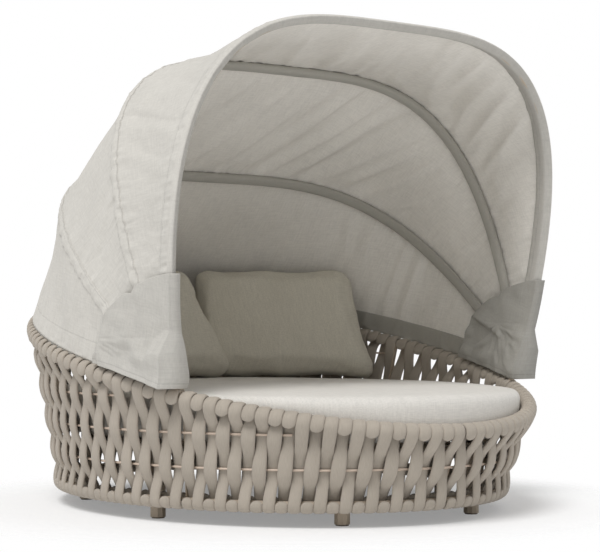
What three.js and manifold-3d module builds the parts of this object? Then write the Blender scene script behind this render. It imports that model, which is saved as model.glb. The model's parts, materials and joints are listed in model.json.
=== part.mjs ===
// Outdoor daybed with a folding canopy: an oval basket of woven padded straps on a welded tube frame,
// a slatted deck on round legs, a seat cushion, two back pillows and a fabric hood on three nested bows.
// Millimetres, +Z up. The origin is on the floor under the middle of the whole; the front faces -Y.
import * as THREE from 'three';
import { mergeVertices } from 'three/addons/utils/BufferGeometryUtils.js';
import Module from 'manifold-3d';

const wasm = await Module();
wasm.setup();

// Driving dimensions of the basket wall, taken on the middle of the wall at its gauge height.
// The wires stand at even heights from the bottom ring up to the top wire's drop under the rear of the rim.
const wall = {
  halfWidth: 735,
  halfDepth: 906,
  gaugeHeight: 182,
  sideFlareShare: 0.231,
  frontLeanShare: 0.133,
  ringHeight: 72,
  ringRadius: 12.5,
  wireRadius: 4,
  wireLevels: 5,
  topWireDrop: 77.8,
  wireEndDrop: 46,
};

// The rim lies in one plane that climbs from the front to the back
const rim = { middleHeight: 494, climbShare: 0.209, tubeRadius: 12.5 };

// One padded strap, laced up and down over the rim and under the bottom ring
const strap = { width: 35.4, thickness: 14, spacing: 3, steepDrop: 95, kneeRise: 5, underShare: 0.7 };

// Frame pieces inside the wall
const upright = { width: 3.5, depth: 16, stationGap: 7.5, footHeight: 10, footLap: 22, rearSectorCount: 5 };
const leg = { radius: 25.5, count: 7, insetWidth: 103, insetDepth: 127 };
const glide = { radius: 21.5, height: 4 };
const deck = { height: 215, bandWidth: 40, bandDepth: 25, slatWidth: 92, slatGap: 56, slatDepth: 13 };

// Soft goods
const seat = { height: 171, sideGap: 15, taper: 18, edgeRound: 46, crown: 13, backShift: 12 };
const pillow = { width: 650, height: 430, depth: 175, drawIn: 10, topShare: 0.88, squareness: 4 };
const rightPillow = { x: 412, y: 520, turn: -37, lean: 18 };
const backPillow = { x: -175, y: 600, turn: 6, lean: 24 };

// Canopy bows: three arches on one pivot line, the front one innermost and tallest
const bow = {
  tubeRadius: 10,
  height: 1156,
  sideBulge: 90,
  bulgeReach: 939,
  squareness: 3.7,
  nestStep: 21,
  crownShare: 0.5,
  frontLean: 9,
  middleLean: -21.3,
  rearLean: -50.9,
  lugLength: 76,
  lugOverlap: 14,
  lugRadius: 12,
  lugTip: 8,
  lugThickness: 5,
};
const pivot = { angle: 64.3, rise: 62, firstLugOut: 23, boltRadius: 4, headRadius: 9, headDepth: 5 };
const clevis = {
  plate: 4,
  halfDepth: 15,
  stemWidth: 4,
  stemDepth: 20,
  floorDrop: 20,
  topRise: 12,
  endPlay: 5,
};

// Canopy fabric
const cloth = {
  thickness: 3,
  sag: 14,
  foldDepth: 5,
  foldCount: 9,
  fullSagAt: 500,
  hemDepth: 52,
  hemLift: 8,
  hemShare: 0.33,
  hemRise: 1.2,
  seamShift: 1.2,
  rearEdgeTurn: 50,
  rearStartGap: 45,
};
const boot = {
  thickness: 3,
  reach: 330,
  sideClear: 4,
  footOut: 8,
  footIn: 28,
  frontClear: 3,
  rearAngle: 86,
  footClear: 6,
  rearPinch: 16,
};

// Fits: the gap left at every seat, and how far a cutter runs past what it cuts
const seatGap = 0.3;
const strapGap = 0.5;

// Facet counts, and the rows and columns of the cloth's and pillows' grids
const loopSteps = 48;
const facets = {
  tubeSteps: 7,
  bowTubeSteps: 8,
  wireSteps: 5,
  legSteps: 10,
  boltSteps: 10,
  bowSteps: 28,
  seatSteps: 40,
  panelSteps: 4,
  rearPanelSteps: 6,
  bootColumnCount: 6,
  bootRowCount: 5,
  pillowColumnCount: 10,
  pillowRowCount: 8,
};

const degree = Math.PI / 180;
const turn = 2 * Math.PI;
const quarterTurn = Math.PI / 2;

// Colours of the finishes
const finish = {
  strap: new THREE.MeshStandardMaterial({ color: 0xa39a8d, roughness: 0.92, metalness: 0 }),
  wire: new THREE.MeshStandardMaterial({ color: 0xb8a48f, roughness: 0.5, metalness: 0.15 }),
  frame: new THREE.MeshStandardMaterial({ color: 0x9a8a78, roughness: 0.5, metalness: 0.15 }),
  glide: new THREE.MeshStandardMaterial({ color: 0x4a4643, roughness: 0.7, metalness: 0 }),
  steel: new THREE.MeshStandardMaterial({ color: 0x8f8f8d, roughness: 0.35, metalness: 0.9 }),
  seat: new THREE.MeshStandardMaterial({ color: 0xc9c7bd, roughness: 0.95, metalness: 0 }),
  pillow: new THREE.MeshStandardMaterial({ color: 0x7f7a6e, roughness: 0.95, metalness: 0 }),
  canopy: new THREE.MeshStandardMaterial({ color: 0xc4c1b8, roughness: 0.95, metalness: 0 }),
};

const daybed = new THREE.Group();

// Adds one named piece to a group
function addPiece(name, geometry, material, parent = daybed) {
  const mesh = new THREE.Mesh(geometry, material.clone());
  mesh.name = name;
  parent.add(mesh);
  return mesh;
}

// Solids for joining and cutting
function toSolid(geometry) {
  const bare = geometry.clone();
  for (const name of Object.keys(bare.attributes)) {
    if (name !== 'position') bare.deleteAttribute(name);
  }
  const merged = mergeVertices(bare, 1e-3);
  return new wasm.Manifold(new wasm.Mesh({
    numProp: 3,
    vertProperties: new Float32Array(merged.attributes.position.array),
    triVerts: new Uint32Array(merged.index.array),
  }));
}

function toGeometry(solid) {
  const mesh = solid.getMesh();
  const geometry = new THREE.BufferGeometry();
  geometry.setAttribute('position', new THREE.BufferAttribute(mesh.vertProperties, 3));
  geometry.setIndex(new THREE.BufferAttribute(mesh.triVerts, 1));
  geometry.computeVertexNormals();
  return geometry;
}

function joined(geometries) {
  return toGeometry(geometries.map(toSolid).reduce((a, b) => a.add(b)));
}

function cut(geometry, cutters) {
  return toGeometry(cutters.map(toSolid).reduce((a, b) => a.subtract(b), toSolid(geometry)));
}

// A closed surface from points and triangles, turned so that its faces point out
function closedSurface(points, triangles) {
  let volume = 0;
  for (const [a, b, c] of triangles) {
    volume += points[a].dot(new THREE.Vector3().crossVectors(points[b], points[c]));
  }
  const outward = volume < 0 ? triangles.map(([a, b, c]) => [a, c, b]) : triangles;
  const geometry = new THREE.BufferGeometry().setFromPoints(points);
  geometry.setIndex(outward.flat());
  geometry.computeVertexNormals();
  return geometry;
}

// The wall's own coordinates: an angle from the front, a height, and a distance out of the wall's middle
function wallScale(z) {
  return 1 + wall.sideFlareShare * (z - wall.gaugeHeight) / wall.halfWidth;
}

function wallCentre(z) {
  return -wall.frontLeanShare * (z - wall.gaugeHeight);
}

function wallNormal(angle) {
  return new THREE.Vector3(
    Math.sin(angle) / wall.halfWidth, -Math.cos(angle) / wall.halfDepth, 0).normalize();
}

// The wall's own way up, and its way out square to that
function wallUp(angle) {
  return wallPoint(angle, wall.halfDepth).sub(wallPoint(angle, 0)).normalize();
}

function wallOut(angle) {
  const up = wallUp(angle);
  const out = wallNormal(angle);
  return out.addScaledVector(up, -out.dot(up)).normalize();
}

function wallTangent(angle) {
  return new THREE.Vector3(
    Math.cos(angle) * wall.halfWidth, Math.sin(angle) * wall.halfDepth, 0).normalize();
}

function wallPoint(angle, z, out = 0) {
  const scale = wallScale(z);
  return new THREE.Vector3(
    wall.halfWidth * scale * Math.sin(angle),
    wallCentre(z) - wall.halfDepth * scale * Math.cos(angle),
    z).addScaledVector(wallNormal(angle), out);
}

// Height of the rim tube's middle, where the sloping rim plane meets the flared wall
function rimHeight(angle) {
  const reach = wall.halfDepth * Math.cos(angle);
  const climb = reach * wall.sideFlareShare / wall.halfWidth + wall.frontLeanShare;
  const level = rim.middleHeight - wall.gaugeHeight - rim.climbShare * reach;
  return wall.gaugeHeight + level / (1 + rim.climbShare * climb);
}

const wirePitch = (rimHeight(Math.PI) - wall.topWireDrop - wall.ringHeight) / wall.wireLevels;

function wireHeight(level) {
  return wall.ringHeight + wirePitch * (level + 1);
}

// Angles that part the wall into equal lengths
function evenAngles(from, to, count, margin = 0) {
  const line = new THREE.EllipseCurve(
    0, 0, wall.halfWidth, wall.halfDepth, from - quarterTurn, to - quarterTurn, false);
  const inset = margin / line.getLength();
  return Array.from({ length: count + 1 }, (_, i) => {
    const share = inset + (1 - 2 * inset) * i / count;
    return from + (to - from) * line.getUtoTmapping(share);
  });
}

function wallLength(from, to) {
  const line = new THREE.EllipseCurve(0, 0, wall.halfWidth, wall.halfDepth, from, to, false);
  return line.getLength();
}

// A line that runs round the wall between two angles
class WallCurve extends THREE.Curve {
  constructor(from, to, height, out = 0) {
    super();
    this.from = from;
    this.to = to;
    this.height = height;
    this.out = out;
  }

  getPoint(share, target = new THREE.Vector3()) {
    const angle = this.from + (this.to - this.from) * share;
    return target.copy(wallPoint(angle, this.height(angle), this.out));
  }
}

function circleShape(radius, sides) {
  const points = Array.from({ length: sides }, (_, i) => new THREE.Vector2(
    radius * Math.cos(turn * i / sides), radius * Math.sin(turn * i / sides)));
  return new THREE.Shape(points);
}

function tubeAlong(curve, radius, sides, steps) {
  return new THREE.ExtrudeGeometry(circleShape(radius, sides), {
    steps, curveSegments: 1, bevelEnabled: false, extrudePath: curve });
}

function roundBar(radius, length, sides) {
  return new THREE.CylinderGeometry(radius, radius, length, sides).rotateX(quarterTurn);
}

// A curved tube's flats stand in from its true line by this much at the middle of a step
const widestHalf = wall.halfDepth * wallScale(wireHeight(wall.wireLevels));
const facetSag = widestHalf * (1 - Math.cos(Math.PI / loopSteps));

// Rim and bottom ring, each bent from two half tubes
const endGap = seatGap / wall.halfDepth;
const halves = {
  front: [-quarterTurn + endGap, quarterTurn - endGap],
  rear: [quarterTurn + endGap, 3 * quarterTurn - endGap],
};

function halfTube(half, height, radius) {
  const line = new WallCurve(...halves[half], height);
  return tubeAlong(line, radius, facets.tubeSteps, loopSteps / 2);
}

function buildHalfTubes() {
  for (const half of Object.keys(halves)) {
    addPiece(`rim_tube_${half}`, halfTube(half, rimHeight, rim.tubeRadius), finish.frame);
    const ring = halfTube(half, () => wall.ringHeight, wall.ringRadius);
    addPiece(`bottom_ring_${half}`, ring, finish.frame);
  }
}

// The same tubes a seat gap larger, which shape whatever is fixed to them
function tubeCutters() {
  return Object.keys(halves).flatMap((half) => [
    halfTube(half, rimHeight, rim.tubeRadius + seatGap),
    halfTube(half, () => wall.ringHeight, wall.ringRadius + seatGap),
  ]);
}

// Each wire runs as far round the wall as the rim stays clear above it
function wireReach(level) {
  const clearAt = (angle) => rimHeight(angle) - wireHeight(level) > wall.wireEndDrop;
  if (clearAt(0)) return 0;
  let low = 0;
  let high = Math.PI;
  for (let i = 0; i < 40; i += 1) {
    const middle = (low + high) / 2;
    if (clearAt(middle)) high = middle;
    else low = middle;
  }
  return high;
}

function buildWires() {
  for (let level = 0; level < wall.wireLevels; level += 1) {
    const start = wireReach(level);
    const height = () => wireHeight(level);
    const spans = start === 0
      ? Object.entries(halves).map(([half, span]) => [`_${half}`, span])
      : [['', [start, turn - start]]];
    for (const [suffix, [from, to]] of spans) {
      const steps = Math.max(2, Math.round(loopSteps * (to - from) / turn));
      const line = new WallCurve(from, to, height, facetSag / 2);
      const name = `wire_${level + 1}${suffix}`;
      addPiece(name, tubeAlong(line, wall.wireRadius, facets.wireSteps, steps), finish.wire);
    }
  }
}

// Stations are the gaps in the weave where the frame's uprights stand
const pivotAngle = pivot.angle * degree;
const rearStations = evenAngles(pivotAngle, turn - pivotAngle, upright.rearSectorCount);
const stations = [0, ...rearStations];

// Distances of a strap's middle from the wall's middle where it passes a wire or wraps a tube
const wrapFlat = Math.PI / 3;
const wrapOut = (rim.tubeRadius + strapGap + facetSag + strap.thickness / 2) / Math.cos(wrapFlat / 2);
const wrapTop = wrapOut * Math.cos(wrapFlat / 2) + strap.thickness / 2;
const crossingSlope = Math.atan(2 * strap.thickness / wirePitch);
const passOut = (wall.wireRadius + strapGap + facetSag / 2 + strap.thickness / 2) / Math.cos(crossingSlope);

// The strap's path as rings: a place on the wall, how far out of it and how far up it the strap lies
function passRings(angle, side, levels, steep) {
  const rings = levels.map((level, i) => ({
    angle, z: wireHeight(level), out: passOut * (i % 2 === 0 ? side : -side), up: 0 }));
  if (steep) rings.push({ ...rings[rings.length - 1], up: strap.kneeRise });
  return rings;
}

// Half a turn of strap round a tube, from one side of the wall to the other
function wrapRings(fromAngle, toAngle, height, side, up, steep) {
  const flats = Math.round(Math.PI / wrapFlat);
  const steps = Array.from({ length: flats + 1 }, (_, i) => i);
  if (steep) {
    steps.unshift(-strap.underShare);
    steps.push(flats + strap.underShare);
  }
  return steps.map((step) => {
    const along = Math.min(1, Math.max(0, step / flats));
    const angle = fromAngle + (toAngle - fromAngle) * along;
    const around = step * wrapFlat;
    return {
      angle,
      z: height(angle),
      out: side * wrapOut * Math.cos(around),
      up: up * wrapOut * Math.sin(around),
    };
  });
}

// The belt of one sector: up one pass, over the rim, down the next, under the bottom ring, and on
function beltRings(angles) {
  const bottom = () => wall.ringHeight;
  const rings = [];
  rings.push(...wrapRings(angles[0], angles[0], bottom, 1, -1, false));
  for (let i = 0; i < angles.length; i += 2) {
    const [upAngle, downAngle] = [angles[i], angles[i + 1]];
    const lowRim = Math.min(rimHeight(upAngle), rimHeight(downAngle));
    const levels = [];
    for (let level = 0; level < wall.wireLevels; level += 1) {
      if (lowRim - wireHeight(level) > wall.wireEndDrop) levels.push(level);
    }
    const drop = lowRim - wireHeight(levels.length - 1);
    const steep = drop < strap.steepDrop;
    const topSide = levels.length % 2 === 0 ? 1 : -1;
    rings.push(...passRings(upAngle, 1, levels, steep));
    rings.push(...wrapRings(upAngle, downAngle, rimHeight, topSide, 1, steep));
    rings.push(...passRings(downAngle, -1, levels, steep).reverse());
    const next = i + 2 < angles.length ? angles[i + 2] : downAngle;
    rings.push(...wrapRings(downAngle, next, bottom, 1, -1, false));
  }
  return rings;
}

function beltGeometry(rings) {
  const centres = rings.map((ring) => wallPoint(ring.angle, ring.z)
    .addScaledVector(wallOut(ring.angle), ring.out)
    .addScaledVector(wallUp(ring.angle), ring.up));
  const points = [];
  const triangles = [];
  centres.forEach((centre, i) => {
    const before = centres[Math.max(0, i - 1)];
    const after = centres[Math.min(centres.length - 1, i + 1)];
    const across = wallTangent(rings[i].angle);
    const ahead = after.clone().sub(before).normalize();
    const face = new THREE.Vector3().crossVectors(ahead, across).normalize();
    for (const [w, t] of [[-1, -1], [1, -1], [1, 1], [-1, 1]]) {
      points.push(centre.clone()
        .addScaledVector(across, w * strap.width / 2)
        .addScaledVector(face, t * strap.thickness / 2));
    }
  });
  const last = 4 * (centres.length - 1);
  for (let i = 0; i < centres.length - 1; i += 1) {
    for (let j = 0; j < 4; j += 1) {
      const a = 4 * i + j;
      const b = 4 * i + (j + 1) % 4;
      triangles.push([a, b, b + 4], [a, b + 4, a + 4]);
    }
  }
  triangles.push([0, 2, 1], [0, 3, 2], [last, last + 1, last + 2], [last, last + 2, last + 3]);
  return closedSurface(points, triangles);
}

function buildStraps() {
  const bounds = [...stations, turn];
  const pitch = strap.width + strap.spacing;
  for (let i = 0; i < bounds.length - 1; i += 1) {
    const [from, to] = [bounds[i], bounds[i + 1]];
    const margin = upright.stationGap / 2 + pitch / 2;
    const usable = wallLength(from, to) - upright.stationGap;
    const count = 2 * Math.floor(usable / (2 * pitch));
    const angles = evenAngles(from, to, count - 1, margin);
    addPiece(`strap_wall_${i + 1}`, beltGeometry(beltRings(angles)), finish.strap);
  }
}

// A straight bar of rectangular section between two points
function barBetween(start, end, across, width, depth) {
  const along = end.clone().sub(start);
  const length = along.length();
  along.normalize();
  const side = across.clone().addScaledVector(along, -across.dot(along)).normalize();
  const normal = new THREE.Vector3().crossVectors(along, side);
  const basis = new THREE.Matrix4().makeBasis(side, normal, along);
  basis.setPosition(start.clone().add(end).multiplyScalar(0.5));
  return new THREE.BoxGeometry(width, depth, length).applyMatrix4(basis);
}

// Uprights tie the bottom ring, the wires and the rim to the deck
function buildUprights() {
  const inside = -(wall.wireRadius + facetSag + seatGap + upright.depth / 2);
  stations.forEach((angle, i) => {
    const across = wallTangent(angle);
    const bottom = wallPoint(angle, wall.ringHeight, inside);
    const top = wallPoint(angle, rimHeight(angle), inside);
    const post = barBetween(bottom, top, across, upright.width, upright.depth);
    const footZ = deck.height - seatGap - upright.footHeight / 2;
    const outer = wallPoint(angle, footZ, inside);
    const inner = deckPoint(angle, footZ, deck.bandWidth / 2 - upright.footLap);
    const foot = barBetween(inner, outer, across, upright.width, upright.footHeight);
    addPiece(`upright_${i + 1}`, cut(joined([post, foot]), tubeCutters()), finish.frame);
  });
}

// The deck's band stands inside the wall, over the legs
const deckHalfWidth = wall.halfWidth - leg.insetWidth;
const deckHalfDepth = wall.halfDepth - leg.insetDepth;
const deckTop = deck.height + deck.bandDepth + deck.slatDepth;

function deckPoint(angle, z, out = 0) {
  return new THREE.Vector3(
    (deckHalfWidth + out) * Math.sin(angle), -(deckHalfDepth + out) * Math.cos(angle), z);
}

function buildDeck() {
  const outer = new THREE.Shape();
  const half = deck.bandWidth / 2;
  outer.absellipse(0, 0, deckHalfWidth + half, deckHalfDepth + half, 0, turn);
  const hole = new THREE.Path();
  hole.absellipse(0, 0, deckHalfWidth - half, deckHalfDepth - half, 0, turn);
  outer.holes.push(hole);
  const band = new THREE.ExtrudeGeometry(outer, {
    depth: deck.bandDepth, bevelEnabled: false, curveSegments: loopSteps / 2 });
  band.translate(0, 0, deck.height);
  const pitch = deck.slatWidth + deck.slatGap;
  const count = 2 * Math.floor((deckHalfDepth - deck.slatWidth / 2) / pitch) + 1;
  const pieces = [band];
  const weld = deck.slatDepth / 8;
  for (let i = 0; i < count; i += 1) {
    const y = (i - (count - 1) / 2) * pitch;
    const far = Math.abs(y) + deck.slatWidth / 2;
    const reach = deckHalfWidth * Math.sqrt(Math.max(0, 1 - (far / (deckHalfDepth + half)) ** 2));
    const slat = new THREE.BoxGeometry(2 * reach, deck.slatWidth, deck.slatDepth + weld);
    slat.translate(0, y, deckTop - (deck.slatDepth + weld) / 2);
    pieces.push(slat);
  }
  addPiece('slat_deck', joined(pieces), finish.frame);
}

function buildLegs() {
  const height = deck.height - glide.height - 2 * seatGap;
  for (let i = 0; i < leg.count; i += 1) {
    const angle = turn * (i + 0.5) / leg.count;
    const foot = deckPoint(angle, 0);
    const post = addPiece(`leg_${i + 1}`, roundBar(leg.radius, height, facets.legSteps), finish.frame);
    post.position.set(foot.x, foot.y, glide.height + seatGap + height / 2);
    const disc = roundBar(glide.radius, glide.height, facets.legSteps);
    const pad = addPiece(`glide_${i + 1}`, disc, finish.glide);
    pad.position.set(foot.x, foot.y, glide.height / 2);
  }
}

// The seat cushion: an oval pad that fills the basket, with a soft edge and a crown
const seatLow = deckTop + seatGap;
const seatCentre = new THREE.Vector3(0, wallCentre(seatLow) - seat.backShift, seatLow);
const seatDepthShare = wall.halfDepth / wall.halfWidth;

function seatProfile() {
  const inside = passOut + strap.thickness / 2;
  const bottomHalf = wall.halfWidth * wallScale(seatLow) - inside - seat.sideGap;
  const topHalf = bottomHalf + seat.taper;
  const round = seat.edgeRound;
  const edgeTop = seat.height - seat.crown;
  const profile = [new THREE.Vector2(0, 0)];
  const corner = (x, y, radius, from, steps) => {
    for (let i = 0; i <= steps; i += 1) {
      const angle = from + quarterTurn * i / steps;
      profile.push(new THREE.Vector2(x + radius * Math.cos(angle), y + radius * Math.sin(angle)));
    }
  };
  corner(bottomHalf - round / 2, round / 2, round / 2, -quarterTurn, 2);
  corner(topHalf - round, edgeTop - round, round, 0, 3);
  profile.push(new THREE.Vector2(topHalf / 2, seat.height - seat.crown / 4));
  profile.push(new THREE.Vector2(0, seat.height));
  return profile;
}

// Height of the seat's top over a spot on it
function seatTopAt(x, y) {
  const reach = Math.hypot(x - seatCentre.x, (y - seatCentre.y) / seatDepthShare);
  const top = seatProfile().slice(-3);
  for (let i = 0; i < top.length - 1; i += 1) {
    if (reach >= top[i + 1].x) {
      const share = (reach - top[i + 1].x) / (top[i].x - top[i + 1].x);
      return seatLow + top[i + 1].y + share * (top[i].y - top[i + 1].y);
    }
  }
  return seatLow + seat.height;
}

function buildSeat() {
  const cushion = new THREE.LatheGeometry(seatProfile(), facets.seatSteps);
  cushion.rotateX(quarterTurn);
  cushion.scale(1, seatDepthShare, 1);
  addPiece('seat_cushion', closedCopy(cushion), finish.seat).position.copy(seatCentre);
}

// A lathe's seam and poles leave doubled points and empty triangles
function closedCopy(geometry) {
  return toGeometry(toSolid(geometry));
}

// A pillow: two crowned faces meeting in a seam whose sides draw in between the corners
function pillowGeometry() {
  const columns = facets.pillowColumnCount;
  const rows = facets.pillowRowCount;
  const crown = (share) => Math.sqrt(1 - Math.abs(share) ** pillow.squareness);
  const narrow = (share) => 1 - (1 - pillow.topShare) * (share + 1) / 2;
  const points = [];
  const index = new Map();
  const pointAt = (i, j, face) => {
    const onSeam = i === 0 || j === 0 || i === columns || j === rows;
    const key = `${i},${j},${onSeam ? 0 : face}`;
    if (!index.has(key)) {
      const u = 2 * i / columns - 1;
      const v = 2 * j / rows - 1;
      const x = u * narrow(v) * (pillow.width / 2 - pillow.drawIn * (1 - v * v));
      const z = v * (pillow.height / 2 - pillow.drawIn * (1 - u * u));
      index.set(key, points.length);
      points.push(new THREE.Vector3(x, face * pillow.depth / 2 * crown(u) * crown(v), z));
    }
    return index.get(key);
  };
  const triangles = [];
  for (const face of [-1, 1]) {
    for (let i = 0; i < columns; i += 1) {
      for (let j = 0; j < rows; j += 1) {
        const places = [[i, j], [i + 1, j], [i + 1, j + 1], [i, j + 1]];
        const corners = places.map(([across, up]) => pointAt(across, up, face));
        const [a, b, c, d] = face < 0 ? corners : corners.reverse();
        triangles.push([a, b, c], [a, c, d]);
      }
    }
  }
  return closedSurface(points, triangles);
}

// Each pillow leans back and stands on its bottom seam, let down until it meets the seat
function buildPillows() {
  for (const [name, place] of [['back_pillow_right', rightPillow], ['back_pillow_middle', backPillow]]) {
    const geometry = pillowGeometry();
    const piece = addPiece(name, geometry, finish.pillow);
    piece.rotation.set(-place.lean * degree, 0, place.turn * degree, 'ZYX');
    piece.position.set(place.x, place.y, 0);
    piece.updateMatrixWorld();
    const spot = new THREE.Vector3();
    let lift = 0;
    for (let i = 0; i < geometry.attributes.position.count; i += 1) {
      spot.fromBufferAttribute(geometry.attributes.position, i).applyMatrix4(piece.matrixWorld);
      lift = Math.max(lift, seatTopAt(spot.x, spot.y) - spot.z);
    }
    piece.position.z = lift + seatGap;
  }
}

// Bow outline in its own plane: x across the daybed, y up from the pivot line
const pivotSpot = wallPoint(pivotAngle, rimHeight(pivotAngle));
const pivotHeight = pivotSpot.z + pivot.rise;
const pivotHalf = pivotSpot.x + pivot.firstLugOut;

function bowPoint(nest, angle) {
  const half = pivotHalf + bow.sideBulge + bow.crownShare * nest;
  const top = bow.height - bow.crownShare * nest;
  const power = bow.squareness;
  const spread = (Math.abs(Math.cos(angle)) / half) ** power + (Math.sin(angle) / top) ** power;
  const reach = spread ** (-1 / power);
  const y = reach * Math.sin(angle);
  const draw = (half - pivotHalf - nest) * Math.max(0, 1 - y / bow.bulgeReach) ** 2;
  return new THREE.Vector2(reach * Math.cos(angle) - Math.sign(Math.cos(angle)) * draw, y);
}

// How far out a bow's leg stands at a given distance from the pivot line
function bowHalf(nest, distance) {
  return bowPoint(nest, Math.atan2(distance, pivotHalf + nest)).x;
}

// A bow's middle line from one lug over the top to the other
function bowLine(nest) {
  const start = Math.atan2(bow.lugLength, pivotHalf + nest);
  const places = Array.from({ length: facets.bowSteps + 1 }, (_, i) => {
    const place = bowPoint(nest, start + (Math.PI - 2 * start) * i / facets.bowSteps);
    return new THREE.Vector3(place.x, 0, place.y);
  });
  return new THREE.CatmullRomCurve3(places);
}

const bows = {
  front: { nest: 0, lean: bow.frontLean },
  middle: { nest: bow.nestStep, lean: bow.middleLean },
  rear: { nest: 2 * bow.nestStep, lean: bow.rearLean },
};

// A flat lug carries the bow's tube from its pivot, slanting out to where the tube starts
function lugGeometry(slope) {
  const tip = bow.lugLength + bow.lugOverlap;
  const shape = new THREE.Shape();
  shape.absarc(0, 0, bow.lugRadius, Math.PI, turn, false);
  shape.lineTo(bow.lugTip, tip);
  shape.lineTo(-bow.lugTip, tip);
  const hole = new THREE.Path();
  hole.absarc(0, 0, pivot.boltRadius + seatGap, 0, turn, true);
  shape.holes.push(hole);
  const plate = new THREE.ExtrudeGeometry(shape, {
    depth: bow.lugThickness, bevelEnabled: false, curveSegments: facets.boltSteps / 2 });
  plate.translate(0, 0, -bow.lugThickness / 2);
  const standing = new THREE.Matrix4().makeBasis(
    new THREE.Vector3(0, 1, 0), new THREE.Vector3(0, 0, 1), new THREE.Vector3(1, 0, 0));
  plate.applyMatrix4(standing);
  const places = plate.attributes.position;
  for (let i = 0; i < places.count; i += 1) {
    if (places.getZ(i) > bow.lugRadius) places.setX(i, places.getX(i) + slope * places.getZ(i));
  }
  return plate;
}

function bowGeometry(nest) {
  const tube = tubeAlong(bowLine(nest), bow.tubeRadius, facets.bowTubeSteps, facets.bowSteps);
  const half = pivotHalf + nest;
  const slope = (bowHalf(nest, bow.lugLength) - half) / bow.lugLength;
  const lugs = [1, -1].map((side) => lugGeometry(side * slope).translate(side * half, 0, 0));
  return joined([tube, ...lugs]);
}

function buildBows() {
  for (const [name, { nest, lean }] of Object.entries(bows)) {
    const holder = new THREE.Group();
    holder.position.set(0, pivotSpot.y, pivotHeight);
    holder.rotation.x = lean * degree;
    daybed.add(holder);
    addPiece(`${name}_bow`, bowGeometry(nest), finish.frame, holder);
  }
}

// A clevis on a short stem carries each pivot bolt over the rim
function buildPivots() {
  const innerFace = pivotHalf - bow.lugThickness / 2 - clevis.endPlay;
  const outerFace = pivotHalf + 2 * bow.nestStep + bow.lugThickness / 2 + clevis.endPlay;
  const bottom = -clevis.floorDrop;
  for (const [name, side] of [['right', 1], ['left', -1]]) {
    const shape = new THREE.Shape();
    const left = Math.min(innerFace - clevis.plate, pivotSpot.x - clevis.stemDepth / 2);
    shape.moveTo(left, bottom - clevis.plate);
    shape.lineTo(outerFace + clevis.plate, bottom - clevis.plate);
    shape.lineTo(outerFace + clevis.plate, clevis.topRise);
    shape.lineTo(outerFace, clevis.topRise);
    shape.lineTo(outerFace, bottom);
    shape.lineTo(innerFace, bottom);
    shape.lineTo(innerFace, clevis.topRise);
    shape.lineTo(innerFace - clevis.plate, clevis.topRise);
    shape.lineTo(innerFace - clevis.plate, bottom);
    shape.lineTo(left, bottom);
    const channel = new THREE.ExtrudeGeometry(shape, { depth: 2 * clevis.halfDepth, bevelEnabled: false });
    channel.rotateX(quarterTurn);
    channel.translate(0, pivotSpot.y + clevis.halfDepth, pivotHeight);
    const stemTop = pivotSpot.clone().setZ(pivotHeight + bottom - clevis.plate / 2);
    const across = wallTangent(pivotAngle);
    const stem = barBetween(pivotSpot, stemTop, across, clevis.stemWidth, clevis.stemDepth);
    const bore = roundBar(pivot.boltRadius + seatGap, 2 * outerFace, facets.boltSteps);
    bore.rotateY(quarterTurn).translate(outerFace, pivotSpot.y, pivotHeight);
    const bracket = cut(joined([channel, stem]), [bore, ...tubeCutters()]);
    if (side < 0) mirrorX(bracket);
    addPiece(`canopy_bracket_${name}`, bracket, finish.frame);
    const headStart = outerFace + clevis.plate + seatGap;
    const tail = innerFace - clevis.plate - seatGap;
    const shankEnd = headStart + pivot.headDepth / 2;
    const shank = roundBar(pivot.boltRadius, shankEnd - tail, facets.boltSteps);
    shank.rotateY(quarterTurn).translate((shankEnd + tail) / 2, 0, 0);
    const head = roundBar(pivot.headRadius, pivot.headDepth, facets.boltSteps);
    head.rotateY(quarterTurn).translate(headStart + pivot.headDepth / 2, 0, 0);
    const bolt = joined([shank, head]);
    if (side < 0) mirrorX(bolt);
    addPiece(`pivot_bolt_${name}`, bolt, finish.steel).position.set(0, pivotSpot.y, pivotHeight);
  }
}

// Mirrors a geometry across the daybed's middle plane and turns its faces back out
function mirrorX(geometry) {
  geometry.scale(-1, 1, 1);
  const index = geometry.index.array;
  for (let i = 0; i < index.length; i += 3) [index[i + 1], index[i + 2]] = [index[i + 2], index[i + 1]];
  geometry.computeVertexNormals();
}

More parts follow.
